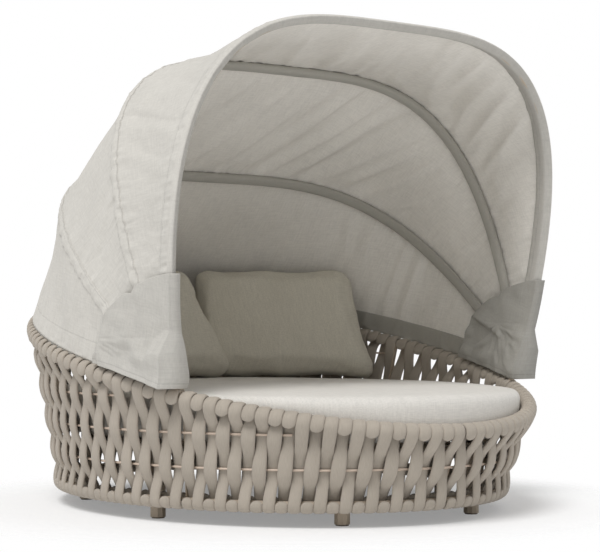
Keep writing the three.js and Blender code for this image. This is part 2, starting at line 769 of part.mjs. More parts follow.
// A sheet of cloth with thickness, from rows of points on its middle surface
function clothGeometry(rows, thickness) {
  const height = rows.length;
  const width = rows[0].length;
  const points = [];
  for (const face of [1, -1]) {
    for (let i = 0; i < height; i += 1) {
      for (let j = 0; j < width; j += 1) {
        const down = rows[Math.min(height - 1, i + 1)][j].clone().sub(rows[Math.max(0, i - 1)][j]);
        const across = rows[i][Math.min(width - 1, j + 1)].clone().sub(rows[i][Math.max(0, j - 1)]);
        const normal = down.cross(across).normalize();
        points.push(rows[i][j].clone().addScaledVector(normal, face * thickness / 2));
      }
    }
  }
  const at = (face, i, j) => face * height * width + i * width + j;
  const triangles = [];
  const quad = (a, b, c, d) => triangles.push([a, b, c], [a, c, d]);
  for (let i = 0; i < height - 1; i += 1) {
    for (let j = 0; j < width - 1; j += 1) {
      quad(at(0, i, j), at(0, i + 1, j), at(0, i + 1, j + 1), at(0, i, j + 1));
      quad(at(1, i, j), at(1, i, j + 1), at(1, i + 1, j + 1), at(1, i + 1, j));
    }
    quad(at(0, i, 0), at(1, i, 0), at(1, i + 1, 0), at(0, i + 1, 0));
    const end = width - 1;
    quad(at(0, i, end), at(0, i + 1, end), at(1, i + 1, end), at(1, i, end));
  }
  for (let j = 0; j < width - 1; j += 1) {
    quad(at(0, 0, j), at(0, 0, j + 1), at(1, 0, j + 1), at(1, 0, j));
    const end = height - 1;
    quad(at(0, end, j), at(1, end, j), at(1, end, j + 1), at(0, end, j + 1));
  }
  return closedSurface(points, triangles);
}

// Places along a leaning bow: its middle, the way out of the arch, and the way forward
function bowPlaces({ nest, lean }) {
  const line = bowLine(nest);
  const acrossAxis = new THREE.Vector3(1, 0, 0);
  return Array.from({ length: facets.bowSteps + 1 }, (_, i) => {
    const along = line.getTangentAt(i / facets.bowSteps);
    const spot = line.getPointAt(i / facets.bowSteps);
    return {
      reach: spot.z,
      centre: spot.clone().applyAxisAngle(acrossAxis, lean * degree)
        .add(new THREE.Vector3(0, pivotSpot.y, pivotHeight)),
      out: new THREE.Vector3(along.z, 0, -along.x).applyAxisAngle(acrossAxis, lean * degree),
      ahead: new THREE.Vector3(0, -1, 0).applyAxisAngle(acrossAxis, lean * degree),
    };
  });
}

// The cloth's middle clears a bow by this much where it is bent over it in flats
const clothFlat = Math.PI / 3;
const clothLift = (bow.tubeRadius + seatGap + cloth.thickness / 2) / Math.cos(clothFlat / 2);

// Rows of points between two edges, sagging towards the inside in the middle
function spanRows(back, front, count, inward) {
  const rows = [];
  for (let i = 0; i <= count; i += 1) {
    const share = i / count;
    rows.push(back.map((start, j) => {
      const gap = front[j].distanceTo(start);
      const inset = i === 0 ? cloth.seamShift / gap : i === count ? -cloth.seamShift / gap : 0;
      const point = start.clone().lerp(front[j], share + inset);
      const fold = cloth.foldDepth * Math.cos(turn * cloth.foldCount * j / (back.length - 1));
      const sag = (cloth.sag + fold) * Math.min(1, gap / cloth.fullSagAt) * 4 * share * (1 - share);
      return point.addScaledVector(inward[j], sag);
    }));
  }
  return rows;
}

function bowEdge(which, rearward = 0) {
  return bowPlaces(which).map((place) => {
    const back = rearward * Math.max(0, 1 - place.reach / bow.height) ** 2;
    return place.centre.clone()
      .addScaledVector(place.out, clothLift * Math.cos(back))
      .addScaledVector(place.ahead, -clothLift * Math.sin(back));
  });
}

function inwardAt(which) {
  return bowPlaces(which).map((place) => place.out.clone().multiplyScalar(-1));
}

function buildMiddlePanel() {
  const [back, front] = [bowEdge(bows.rear), bowEdge(bows.middle)];
  const rows = spanRows(back, front, facets.panelSteps, inwardAt(bows.middle));
  addPiece('canopy_middle_panel', clothGeometry(rows, cloth.thickness), finish.canopy);
}

// The front panel turns round the front bow and ends in a deep hem inside it
function buildFrontPanel() {
  const [back, front] = [bowEdge(bows.middle), bowEdge(bows.front)];
  const rows = spanRows(back, front, facets.panelSteps, inwardAt(bows.front));
  rows.pop();
  const places = bowPlaces(bows.front);
  for (let i = 0; i * clothFlat <= Math.PI; i += 1) {
    rows.push(places.map((place) => place.centre.clone()
      .addScaledVector(place.out, clothLift * Math.cos(i * clothFlat))
      .addScaledVector(place.ahead, clothLift * Math.sin(i * clothFlat))));
  }
  const gapAngle = (bow.frontLean - bow.middleLean) * degree;
  rows.push(places.map((place) => {
    const depth = Math.min(cloth.hemDepth, place.reach * gapAngle * cloth.hemShare);
    return place.centre.clone()
      .addScaledVector(place.out, -clothLift + cloth.hemLift * depth / cloth.hemDepth)
      .addScaledVector(place.ahead, -depth);
  }));
  addPiece('canopy_front_panel', clothGeometry(rows, cloth.thickness), finish.canopy);
}

// The rear panel drops from the rear bow to the rim, and stands on the wrapped rim
function buildRearPanel() {
  const edge = bowEdge(bows.rear, cloth.rearEdgeTurn * degree);
  const clear = cloth.rearStartGap / wall.halfDepth;
  const angles = evenAngles(pivotAngle + clear, turn - pivotAngle - clear, facets.bowSteps);
  const hem = angles.map((angle) => {
    const lift = wrapTop + cloth.hemRise + cloth.thickness / 2;
    return wallPoint(angle, rimHeight(angle)).addScaledVector(wallUp(angle), lift);
  });
  const inward = angles.map((angle) => wallNormal(angle).multiplyScalar(-1));
  const rows = spanRows(hem, edge, facets.rearPanelSteps, inward);
  addPiece('canopy_rear_panel', clothGeometry(rows, cloth.thickness), finish.canopy);
}

// Fabric boots close the canopy over each pivot: an outer and an inner wall joined in front
function bootRows() {
  const hub = new THREE.Vector2(pivotSpot.y, pivotHeight);
  const place = (lean, distance, ahead) => new THREE.Vector2(
    -Math.sin(lean * degree) * distance - Math.cos(lean * degree) * ahead,
    Math.cos(lean * degree) * distance - Math.sin(lean * degree) * ahead).add(hub);
  const front = clothLift + cloth.thickness / 2 + boot.frontClear + boot.thickness / 2;
  const frontTop = place(bow.frontLean, boot.reach, front);
  const rearTop = place(bow.rearLean, boot.reach, -front);
  const rearFoot = boot.rearAngle * degree;
  const frontFoot = pivotAngle - front / (wall.halfDepth * Math.sin(pivotAngle));
  const columns = facets.bootColumnCount;
  const levels = facets.bootRowCount;
  const rows = [];
  for (let r = 0; r <= levels; r += 1) {
    const outer = [];
    const inner = [];
    for (let c = 0; c <= columns; c += 1) {
      const angle = rearFoot + (frontFoot - rearFoot) * c / columns;
      const foot = new THREE.Vector2(
        wallPoint(angle, rimHeight(angle)).y,
        rimHeight(angle) + wrapTop + boot.footClear);
      const top = rearTop.clone().lerp(frontTop, c / columns);
      const spot = foot.lerp(top, r / levels);
      const [y, z] = [spot.x, spot.y];
      const arm = spot.clone().sub(hub);
      const distance = arm.length();
      const behind = Math.atan2(arm.x, arm.y) / degree + bow.frontLean;
      const turned = THREE.MathUtils.clamp(behind / (bow.frontLean - bow.rearLean), 0, 1);
      const near = Math.max(0, 1 - distance / (2 * bow.lugLength));
      const nest = 2 * bow.nestStep * Math.max(turned, Math.min(1, 2 * near));
      const side = clothLift + cloth.thickness + boot.thickness / 2 + boot.sideClear;
      const pinch = boot.rearPinch * (1 - r / levels) * (1 - c / columns) ** 2;
      outer.push(new THREE.Vector3(bowHalf(nest, distance) + side + boot.footOut * near - pinch, y, z));
      inner.push(new THREE.Vector3(bowHalf(0, distance) - side - boot.footIn * near, y, z));
    }
    rows.push([...outer, ...inner.reverse()]);
  }
  return rows;
}

function buildBoots() {
  for (const [name, side] of [['right', 1], ['left', -1]]) {
    const mirrored = (point) => new THREE.Vector3(side * point.x, point.y, point.z);
    const rows = bootRows().map((row) => row.map(mirrored));
    addPiece(`pivot_boot_${name}`, clothGeometry(rows, boot.thickness), finish.canopy);
  }
}

buildHalfTubes();
buildWires();
buildStraps();
buildUprights();
buildDeck();
buildLegs();
buildSeat();
buildPillows();
buildBows();
buildPivots();
buildMiddlePanel();
buildFrontPanel();
buildRearPanel();
buildBoots();

// The origin stands under the middle of the whole
const middle = new THREE.Box3().setFromObject(daybed).getCenter(new THREE.Vector3());
daybed.position.set(-middle.x, -middle.y, 0);

export default daybed;
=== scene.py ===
"""Outdoor daybed with a folding canopy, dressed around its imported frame.

Woven padded straps, a seat cushion, two back pillows and the canopy's cloth are modelled here, and every
frame piece gets its finish. Metres, +Z up, the open front towards -Y.
"""

import json
import math

import bpy
import numpy as np
from mathutils import Matrix, Vector, noise


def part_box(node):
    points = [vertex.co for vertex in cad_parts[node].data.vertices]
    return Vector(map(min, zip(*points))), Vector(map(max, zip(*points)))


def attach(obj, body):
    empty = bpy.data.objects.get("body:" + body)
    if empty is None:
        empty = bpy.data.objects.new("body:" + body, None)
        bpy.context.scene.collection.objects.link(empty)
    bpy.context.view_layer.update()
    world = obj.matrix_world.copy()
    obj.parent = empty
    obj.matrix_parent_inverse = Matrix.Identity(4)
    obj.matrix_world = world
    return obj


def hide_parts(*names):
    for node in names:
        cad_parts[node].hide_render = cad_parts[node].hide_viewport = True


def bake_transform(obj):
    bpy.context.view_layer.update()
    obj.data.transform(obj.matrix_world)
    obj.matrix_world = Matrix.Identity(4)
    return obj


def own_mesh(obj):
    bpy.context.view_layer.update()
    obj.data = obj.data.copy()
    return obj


bl_info = {
    "name": "Canopy Daybed",
    "version": (1, 0, 0),
    "blender": (4, 5, 0),
    "location": "3D View > Sidebar > Daybed",
    "description": "Builds the soft pieces and finishes of an outdoor daybed with a folding canopy",
    "category": "Add Mesh",
}

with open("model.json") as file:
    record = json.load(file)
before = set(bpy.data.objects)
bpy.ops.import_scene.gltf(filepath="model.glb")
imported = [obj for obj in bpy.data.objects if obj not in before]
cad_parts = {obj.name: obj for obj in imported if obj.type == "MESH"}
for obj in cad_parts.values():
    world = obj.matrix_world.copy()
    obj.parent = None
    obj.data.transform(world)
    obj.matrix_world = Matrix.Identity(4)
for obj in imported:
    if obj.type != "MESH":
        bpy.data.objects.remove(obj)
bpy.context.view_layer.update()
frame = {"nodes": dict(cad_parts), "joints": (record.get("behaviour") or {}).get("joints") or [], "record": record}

BASKET, FRONT_GROUP, MIDDLE_GROUP = "basket", "front_bow_group", "middle_bow_group"
HUB = Vector(next(j["pos_m"] for j in frame["joints"] if j["name"] == "front_bow_fold"))
TURN = 2 * math.pi


def length(name, default, text):
    """A size in metres that a user may change."""
    return bpy.props.FloatProperty(
        name=name, description=text, default=default, min=0, precision=4, subtype="DISTANCE", unit="LENGTH")


def share(name, default, text):
    """A plain number that a user may change."""
    return bpy.props.FloatProperty(name=name, description=text, default=default, precision=4)


def angle(name, default, text):
    """An angle, given in degrees."""
    return bpy.props.FloatProperty(
        name=name, description=text, default=math.radians(default), subtype="ANGLE", unit="ROTATION")


def colour(name, default, text):
    """A colour in linear light."""
    return bpy.props.FloatVectorProperty(
        name=name, description=text, default=default, size=3, min=0, max=1, subtype="COLOR")


class WeaveSizes(bpy.types.PropertyGroup):
    """The basket's wall and the straps woven through it."""

    half_width: length("Half width", 0.735, "Middle of the wall to one side, at the lowest wire")
    half_depth: length("Half depth", 0.906, "Middle of the wall to the front, at the lowest wire")
    side_flare: share("Side flare", 0.231, "How far the wall spreads for each unit of height")
    front_lean: share("Front lean", 0.133, "How far the wall moves forward for each unit of height")
    ring_height: length("Ring height", 0.072, "Height of the bottom ring's middle")
    tube_radius: length("Tube radius", 0.0125, "Radius of the rim tube and the bottom ring")
    wire_radius: length("Wire radius", 0.004, "Radius of the wires in the wall")
    wire_pitch: length("Wire pitch", 0.110, "Height from one wire to the next")
    wire_levels: bpy.props.IntProperty(name="Wires", description="Number of wires", default=5, min=1)
    wire_end_drop: length("Wire end drop", 0.046, "A wire ends where the rim comes this close above it")
    rim_height: length("Rim height", 0.494, "Height of the rim's middle at the middle of the daybed")
    rim_climb: share("Rim climb", 0.209, "How far the rim climbs towards the back for each unit of depth")
    strap_width: length("Strap width", 0.0354, "Width of one strap")
    strap_thickness: length("Strap thickness", 0.014, "Thickness of one strap")
    strap_spacing: length("Strap spacing", 0.003, "Gap between straps at the lowest wire")
    waist: share("Waist", 0.985, "Width of a strap where it crosses its neighbours, as a share of the pitch")
    wrapped: share("Wrapped", 1.06, "Width of a strap wrapped over a tube, as a share of the pitch")
    bulge: share("Bulge", 1.19, "Width of a strap where it passes a wire, as a share of the pitch")
    station_gap: length("Station gap", 0.0075, "Gap in the weave where an upright stands")
    stub: length("Stub", 0.020, "How far a strap's end runs on past the tube that it is wrapped over")
    stub_round: length("Stub rounding", 0.016, "Length over which the end is rounded off")


class CanopySizes(bpy.types.PropertyGroup):
    """The three bows and the cloth over them."""

    pivot_angle: angle("Pivot angle", 64.3, "Where the pivots stand round the wall, from the front")
    pivot_rise: length("Pivot rise", 0.062, "Middle of the rim tube up to the pivot line")
    pivot_half: length("Pivot half", 0.7302, "Middle of the daybed to the innermost lug")
    nest_step: length("Nest step", 0.021, "How far each bow's lug stands outside the one before it")
    tube_radius: length("Bow tube radius", 0.010, "Radius of a bow's tube")
    height: length("Bow height", 1.156, "Pivot line to the top of the front bow")
    side_bulge: length("Side bulge", 0.090, "How far a bow's sides stand outside its pivots")
    bulge_reach: length("Bulge reach", 0.939, "Distance from the pivot line where the bulge is whole")
    squareness: share("Squareness", 3.7, "Power of the bow's outline: 2 is round, more is squarer")
    crown_share: share("Crown share", 0.5, "How much of the nesting the crown takes up")
    lug_length: length("Lug length", 0.076, "Pivot line to where the tube starts")
    front_lean: angle("Front lean", 9.0, "Lean of the front bow, forwards from upright")
    middle_lean: angle("Middle lean", -21.3, "Lean of the middle bow")
    rear_lean: angle("Rear lean", -50.9, "Lean of the rear bow")
    thickness: length("Cloth thickness", 0.0018, "Thickness of the canopy cloth")
    lift: length("Cloth lift", 0.0136, "Middle of a bow to the cloth over it")
    sag: length("Sag", 0.016, "How far the cloth sinks in between two bows")
    crease: length("Crease", 0.0115, "Depth of the soft folds")
    pucker: length("Pucker", 0.0070, "Depth of the gathers beside a seam")
    pull_reach: length("Pull reach", 0.075, "How far the gathers run from a seam")
    welt_half: length("Welt half width", 0.0205, "Half the width of the gathered strip outside a bow")
    nose: length("Nose", 0.0165, "How far the hem's slim edge stands ahead of the front bow's middle")
    hem_depth: length("Hem depth", 0.047, "Depth of the hem inside the front bow")
    sleeve_half: length("Sleeve half width", 0.0195, "Half the width of a sleeve round a bow")
    band_depth: length("Band depth", 0.063, "Depth of the band along the foot of the rear panel")
    boot_fold: length("Boot fold", 0.018, "Depth of the slanting folds in a boot")
    boot_kept: share("Boot kept", 0.42, "Height of a boot once the canopy is folded, as a share of that at rest")
    fold_reach: length("Fold reach", 0.85, "Distance from the pivots where the cloth's edges keep to their bows")


class CushionSizes(bpy.types.PropertyGroup):
    """The seat cushion and the back pillows."""

    seat_margin: length("Seat margin", 0.006, "How far the cushion starts inside its solid before it swells")
    seat_proud: length("Seat proud", 0.012, "How far the swollen cushion stands outside its solid")
    seat_draw: share("Seat draw", 0.985, "Size of the cushion's foot, as a share of its top")
    seat_edge: length("Seat edge", 0.028, "Rounding of the seat's top edge")
    seat_voxel: length("Seat voxel", 0.014, "Mesh size of the seat while it swells")
    pillow_width: length("Pillow width", 0.650, "Width of a back pillow")
    pillow_height: length("Pillow height", 0.430, "Height of a back pillow")
    pillow_depth: length("Pillow depth", 0.140, "Depth of a back pillow before it swells")
    pillow_bulk: length("Pillow bulk", 0.165, "Depth of a back pillow once it is swollen")
    pillow_edge: length("Pillow edge", 0.046, "Rounding of a pillow's edges")
    pillow_top: share("Pillow top", 0.87, "Width of a pillow's top, as a share of its foot")
    pillow_voxel: length("Pillow voxel", 0.009, "Mesh size of a pillow while it swells")
    seat_swell: length("Seat swell", 0.0096, "How far a point of the seat may move while it swells")
    pillow_swell: length("Pillow swell", 0.020, "How far a point of a pillow may move while it swells")


class StageSizes(bpy.types.PropertyGroup):
    """The light on the daybed."""

    surround: share("Surround", 0.50, "Strength of the even light from all round; the lamp gives the rest")
    lamp_softness: angle("Lamp softness", 28, "How large the lamp looks from the daybed")


class Colours(bpy.types.PropertyGroup):
    """The colours of the finishes."""

    strap: colour("Strap", (0.435, 0.386, 0.326), "Padded straps")
    wire: colour("Wire", (0.66, 0.54, 0.44), "Wires in the wall")
    tube: colour("Tube", (0.50, 0.415, 0.32), "Legs, rim, deck and bows")
    glide: colour("Glide", (0.17, 0.145, 0.115), "Plastic glides")
    steel: colour("Steel", (0.50, 0.50, 0.49), "Pivot bolts")
    seat: colour("Seat", (0.715, 0.69, 0.645), "Seat cushion")
    pillow: colour("Pillow", (0.64, 0.605, 0.515), "Back pillows")
    canopy: colour("Canopy", (0.63, 0.608, 0.562), "Canopy cloth")
    # Painted light: the inside colour is a brighter copy of the canopy cloth, on the faces that look in at the
    # seat. It stands in for light that shines through the cloth.
    inside: colour("Inside", (0.83, 0.80, 0.745), "Inside of the canopy cloth, where light shines through")
    boot: colour("Boot", (0.545, 0.527, 0.487), "Pivot boots")
    # Painted shade: a darker copy of the boot cloth on the side that faces the seat, where the canopy keeps the
    # light off.
    boot_painted_shade: colour("Boot inside", (0.36, 0.348, 0.317), "Side of a pivot boot that faces the seat")
    sleeve: colour("Sleeve", (0.41, 0.395, 0.354), "Sleeves and band inside the canopy")
    floor: colour("Floor", (0.95, 0.95, 0.95), "Floor")


# Shader maths


class Value:
    """A socket that numbers can be added to, taken from and multiplied with."""

    def __init__(self, nodes, socket):
        self.nodes = nodes
        self.socket = socket

    def _sum(self, operation, *given):
        return self.nodes.node("ShaderNodeMath", {"operation": operation}, dict(enumerate(given)))

    def __add__(self, other):
        return self._sum("ADD", self, other)

    __radd__ = __add__

    def __sub__(self, other):
        return self._sum("SUBTRACT", self, other)

    def __rsub__(self, other):
        return self._sum("SUBTRACT", other, self)

    def __mul__(self, other):
        return self._sum("MULTIPLY", self, other)

    __rmul__ = __mul__

    def most(self, other):
        """The larger of two values."""
        return self._sum("MAXIMUM", self, other)

    def wave(self):
        """A smooth wave between 0 and 1, one for each unit."""
        return 0.5 + 0.5 * self._sum("SINE", self * TURN)

    def band(self, middle, half):
        """1 at a place and 0 beyond a distance from it."""
        away = self._sum("ABSOLUTE", self - middle)
        return 1 - away.ramp(0.0, half)

    def over(self, edge, soft):
        """0 below an edge and 1 above it."""
        return self.ramp(edge - soft, edge + soft)

    def ramp(self, low, high):
        """A smooth rise from 0 to 1 between two values."""
        settings = {"interpolation_type": "SMOOTHSTEP"}
        inputs = {"Value": self, "From Min": low, "From Max": high}
        return self.nodes.node("ShaderNodeMapRange", settings, inputs)


class Nodes:
    """The shader nodes of one tree."""

    def __init__(self, tree):
        self.tree = tree

    def node(self, kind, settings=None, inputs=None, output=0):
        """Adds a node, sets it up and links what it reads."""
        made = self.tree.nodes.new(kind)
        for name, value in (settings or {}).items():
            setattr(made, name, value)
        for name, value in (inputs or {}).items():
            self.feed(made.inputs[name], value)
        return Value(self, made.outputs[output])

    def feed(self, socket, value):
        if isinstance(value, Value):
            self.tree.links.new(value.socket, socket)
        elif hasattr(value, "__len__") and len(value) == 3 and socket.type == "RGBA":
            socket.default_value = (*value, 1)
        else:
            socket.default_value = value


class Finish(Nodes):
    """A material and the nodes that make it."""

    def __init__(self, name):
        self.material = bpy.data.materials.new(name)
        self.material.use_nodes = True
        super().__init__(self.material.node_tree)
        self.shader = self.tree.nodes["Principled BSDF"]

    def set(self, **values):
        """Sets or links the shader's own sockets; an underscore stands for a space."""
        for name, value in values.items():
            self.feed(self.shader.inputs[name.replace("_", " ")], value)

    def mix(self, factor, first, second, blend="MIX"):
        """A colour between two, by a factor."""
        settings = {"data_type": "RGBA", "blend_type": blend}
        inputs = {0: factor, 6: first, 7: second}
        return self.node("ShaderNodeMix", settings, inputs, output=2)

    def tones(self, factor, shade, low, high):
        """A colour between a darker and a brighter shade of one."""
        return self.mix(factor, tuple(low * c for c in shade), tuple(min(1.0, high * c) for c in shade))

    def place(self, scale, turn=(0, 0, 0), uv=None):
        """Coordinates on the piece, stretched by a scale."""
        if uv:
            source = self.node("ShaderNodeUVMap", {"uv_map": uv})
        else:
            source = self.node("ShaderNodeTexCoord", output=3)
        inputs = {"Vector": source, "Rotation": turn, "Scale": scale}
        return self.node("ShaderNodeMapping", None, inputs)

    def noise(self, scale, detail=3, turn=(0, 0, 0), uv=None):
        """Soft noise, stretched by a scale in cells for each metre."""
        inputs = {"Vector": self.place(scale, turn, uv), "Scale": 1, "Detail": detail}
        return self.node("ShaderNodeTexNoise", None, inputs)

    def along(self, scale, axis, turn=(0, 0, 0), uv=None):
        """One coordinate, times a scale."""
        split = self.node("ShaderNodeSeparateXYZ", None, {"Vector": self.place((1, 1, 1), turn, uv)}, output=axis)
        return split * scale

    def bump(self, height, depth, strength=1.0):
        """Raises the surface by a height between 0 and 1 times a depth in metres."""
        inputs = {"Height": height, "Distance": depth, "Strength": strength}
        self.set(Normal=self.node("ShaderNodeBump", None, inputs))


def canopy_finish(name, shade, stitched=(), painted_shade_from=0.0):
    """The canopy's cloth: uneven yarns both ways and faint cloudiness, with rows of stitches at distances from
    the first edge, and painted shade beyond a distance from it: a darker band where the doubled hem lets less
    light through."""
    cloth = Finish(name)
    yarns = cloth.noise((60, 480, 1), 2, uv="Cloth") + cloth.noise((480, 60, 1), 2, uv="Cloth")
    slubs = cloth.noise((20, 170, 1), 2, uv="Cloth") + cloth.noise((170, 20, 1), 2, uv="Cloth")
    cloud = cloth.noise((3, 3, 3), 3)
    tone = 0.5 + 1.1 * (0.5 * slubs - 0.5) + 0.9 * (0.5 * yarns - 0.5) + 0.7 * (cloud - 0.5)
    height = 0.30 * yarns + 0.20 * slubs
    first = cloth.along(1, 0, uv="Seams")
    stitches = cloth.along(1 / 0.007, 0, uv="Cloth").wave()
    for row in stitched:
        line = first.band(row, 0.0030)
        tone = tone - (0.25 + 0.35 * stitches) * line
        height = height - 0.6 * line
    base = cloth.tones(tone, shade, 0.82, 1.16)
    # Painted shade: beyond this distance the cloth is darkened, where the doubled hem lets less light through.
    if painted_shade_from:
        base = cloth.mix(first.over(painted_shade_from, 0.002), base, (0.78, 0.78, 0.78), "MULTIPLY")
    cloth.set(Base_Color=base, Roughness=0.84 + 0.06 * yarns)
    cloth.set(Specular_IOR_Level=0.25, Sheen_Weight=0.08, Sheen_Roughness=0.6)
    cloth.bump(height, 0.0008)
    return cloth.material


def cloth_finish(name, shade, slub, yarn, contrast=0.16, turn=(0, 0, 0), uv=None, depth=0.0006):
    """Woven cloth: two sets of uneven yarns, thick and thin places, and a faint cloudiness.
    slub is the length of a thick place and yarn the width of a yarn, in metres."""
    cloth = Finish(name)
    lengthwise = cloth.noise((1 / slub, 1 / yarn, 1 / yarn), 2, turn, uv)
    crosswise = cloth.noise((1 / yarn, 1 / slub, 1 / slub), 2, turn, uv)
    cloud = cloth.noise((2.5, 2.5, 2.5), 3, turn, uv)
    weave = 0.6 * lengthwise + 0.4 * crosswise
    light = 1 - contrast * 1.6 + contrast * 2.4 * weave + 0.10 * cloud
    least, gain = 0.62, 1.666
    cloth.set(Base_Color=cloth.tones((light - least) * gain, shade, least, 1.22))
    cloth.set(Roughness=0.88 + 0.1 * weave, Specular_IOR_Level=0.25, Sheen_Weight=0.12, Sheen_Roughness=0.6)
    cloth.bump(weave, depth)
    return cloth.material


def strap_finish(shade):
    """Knitted sleeve over a padded strap: fine ribs along it and small stitches across."""
    cloth = Finish("padded_strap")
    ribs = cloth.along(1 / 0.0021, 0, uv="Along").wave()
    stitches = cloth.along(1 / 0.0026, 1, uv="Along").wave()
    fibres = cloth.noise((900, 45, 1), 2, uv="Along")
    cloud = cloth.noise((9, 9, 9), 2)
    tone = 0.45 * fibres + 0.30 * cloud + 0.15 * ribs
    cloth.set(Base_Color=cloth.tones(tone * 1.1, shade, 0.70, 1.26), Roughness=0.86 + 0.1 * fibres)
    cloth.set(Specular_IOR_Level=0.25, Sheen_Weight=0.1, Sheen_Roughness=0.6)
    cloth.bump(0.5 * ribs + 0.25 * stitches + 0.4 * fibres, 0.0005)
    return cloth.material


def coated_finish(name, shade, roughness=0.5):
    """Powder coat: a fine grain in colour, gloss and surface."""
    paint = Finish(name)
    grain = paint.noise((900, 900, 900), 2)
    cloud = paint.noise((14, 14, 14), 3)
    paint.set(Base_Color=paint.tones(0.6 * cloud + 0.4 * grain, shade, 0.86, 1.10), Metallic=0.1)
    paint.set(Roughness=roughness - 0.08 + 0.16 * cloud)
    paint.bump(grain, 0.00008)
    return paint.material


def steel_finish(shade):
    """Brushed steel, with streaks round the bolt."""
    steel = Finish("bolt_steel")
    streaks = steel.noise((60, 1400, 1400), 2)
    steel.set(Base_Color=steel.tones(streaks, shade, 0.8, 1.0), Metallic=1.0, Roughness=0.28 + 0.18 * streaks)
    steel.bump(streaks, 0.00005)
    return steel.material


def plastic_finish(shade):
    """Matte moulded plastic with a fine grain."""
    plastic = Finish("glide_plastic")
    grain = plastic.noise((1200, 1200, 1200), 2)
    plastic.set(Base_Color=plastic.tones(grain, shade, 0.8, 1.0), Roughness=0.55 + 0.2 * grain)
    plastic.bump(grain, 0.00006)
    return plastic.material


# Meshes


def deselect():
    for piece in bpy.context.selected_objects:
        piece.select_set(False)


def only(piece):
    """Makes one piece the selected and active one."""
    deselect()
    piece.select_set(True)
    bpy.context.view_layer.objects.active = piece


def piece_from(name, points, faces, material, smooth=True):
    """A new piece from points and faces, with its place in its mesh."""
    mesh = bpy.data.meshes.new(name)
    mesh.from_pydata([tuple(p) for p in points], [], [tuple(f) for f in faces])
    mesh.validate()
    piece = bpy.data.objects.new(name, mesh)
    bpy.context.scene.collection.objects.link(piece)
    mesh.materials.append(material)
    if smooth:
        mesh.shade_smooth()
    return piece


def settle(piece):
    """Moves a mesh from the wall's own coordinates to the frame's."""
    piece.data.transform(Matrix.Translation(origin_shift()))
    piece.data.update()


def origin_shift():
    """From the middle of the wall's lowest wire to the frame's own origin."""
    scene = bpy.context.scene
    return HUB - Vector(pivot_hub(scene.daybed_canopy, scene.daybed_weave))


def apply_modifier(piece, kind, **settings):
    """Adds a modifier, sets it and applies it."""
    only(piece)
    made = piece.modifiers.new(kind.lower(), kind)
    for name, value in settings.items():
        setattr(made, name, value)
    bpy.ops.object.modifier_apply(modifier=made.name)


def grid_faces(rows, columns, start=0):
    """Quads of a grid of points, row by row."""
    faces = []
    for i in range(rows - 1):
        for j in range(columns - 1):
            a = start + i * columns + j
            faces.append((a, a + 1, a + columns + 1, a + columns))
    return faces


def sheet_uv(piece, across, down, name="Cloth"):
    """A UV map in metres from each point's place across and down the cloth."""
    layer = piece.data.uv_layers.new(name=name)
    corner = np.empty(len(piece.data.loops), int)
    piece.data.loops.foreach_get("vertex_index", corner)
    pairs = np.stack([np.asarray(across)[corner], np.asarray(down)[corner]], axis=1)
    layer.data.foreach_set("uv", pairs.ravel().astype(np.float32))


# The wall's own coordinates: an angle from the front, a height, and a distance out and up


def wire_height(sizes, level):
    return sizes.ring_height + sizes.wire_pitch * (level + 1)


def wall_scale(sizes, z):
    return 1 + sizes.side_flare * (z - wire_height(sizes, 0)) / sizes.half_width


def wall_point(sizes, where, z):
    scale = wall_scale(sizes, z)
    centre = -sizes.front_lean * (z - wire_height(sizes, 0))
    x = sizes.half_width * scale * math.sin(where)
    y = centre - sizes.half_depth * scale * math.cos(where)
    return Vector((x, y, z))


def wall_axes(sizes, where):
    """The ways out of the wall, up it and along it, square to each other."""
    up = (wall_point(sizes, where, 1) - wall_point(sizes, where, 0)).normalized()
    out = Vector((math.sin(where) / sizes.half_width, -math.cos(where) / sizes.half_depth, 0)).normalized()
    out = (out - up * out.dot(up)).normalized()
    along = Vector((math.cos(where) * sizes.half_width, math.sin(where) * sizes.half_depth, 0)).normalized()
    return out, up, along


def rim_height(sizes, where):
    reach = sizes.half_depth * math.cos(where)
    climb = reach * sizes.side_flare / sizes.half_width + sizes.front_lean
    lowest = wire_height(sizes, 0)
    above = (sizes.rim_height - lowest - sizes.rim_climb * reach) / (1 + sizes.rim_climb * climb)
    return lowest + above


def wall_lengths(sizes, start, end, steps=2000):
    """Angles between two, and the wall's length up to each."""
    angles = np.linspace(start, end, steps + 1)
    x = sizes.half_width * np.sin(angles)
    y = sizes.half_depth * np.cos(angles)
    run = np.concatenate([[0], np.cumsum(np.hypot(np.diff(x), np.diff(y)))])
    return angles, run


def even_angles(sizes, start, end, count, margin=0.0):
    """Angles that part the wall into equal lengths."""
    angles, run = wall_lengths(sizes, start, end)
    return np.interp(np.linspace(margin, run[-1] - margin, count + 1), run, angles)


# Woven straps

# Points round a strap, half its width as a share of the pitch, and how square it is across and through.
STRAP_SIDES = 14
STRAP_HALF_SHARE = 0.492
STRAP_SQUARE_ACROSS, STRAP_SQUARE_THROUGH = 0.72, 0.80


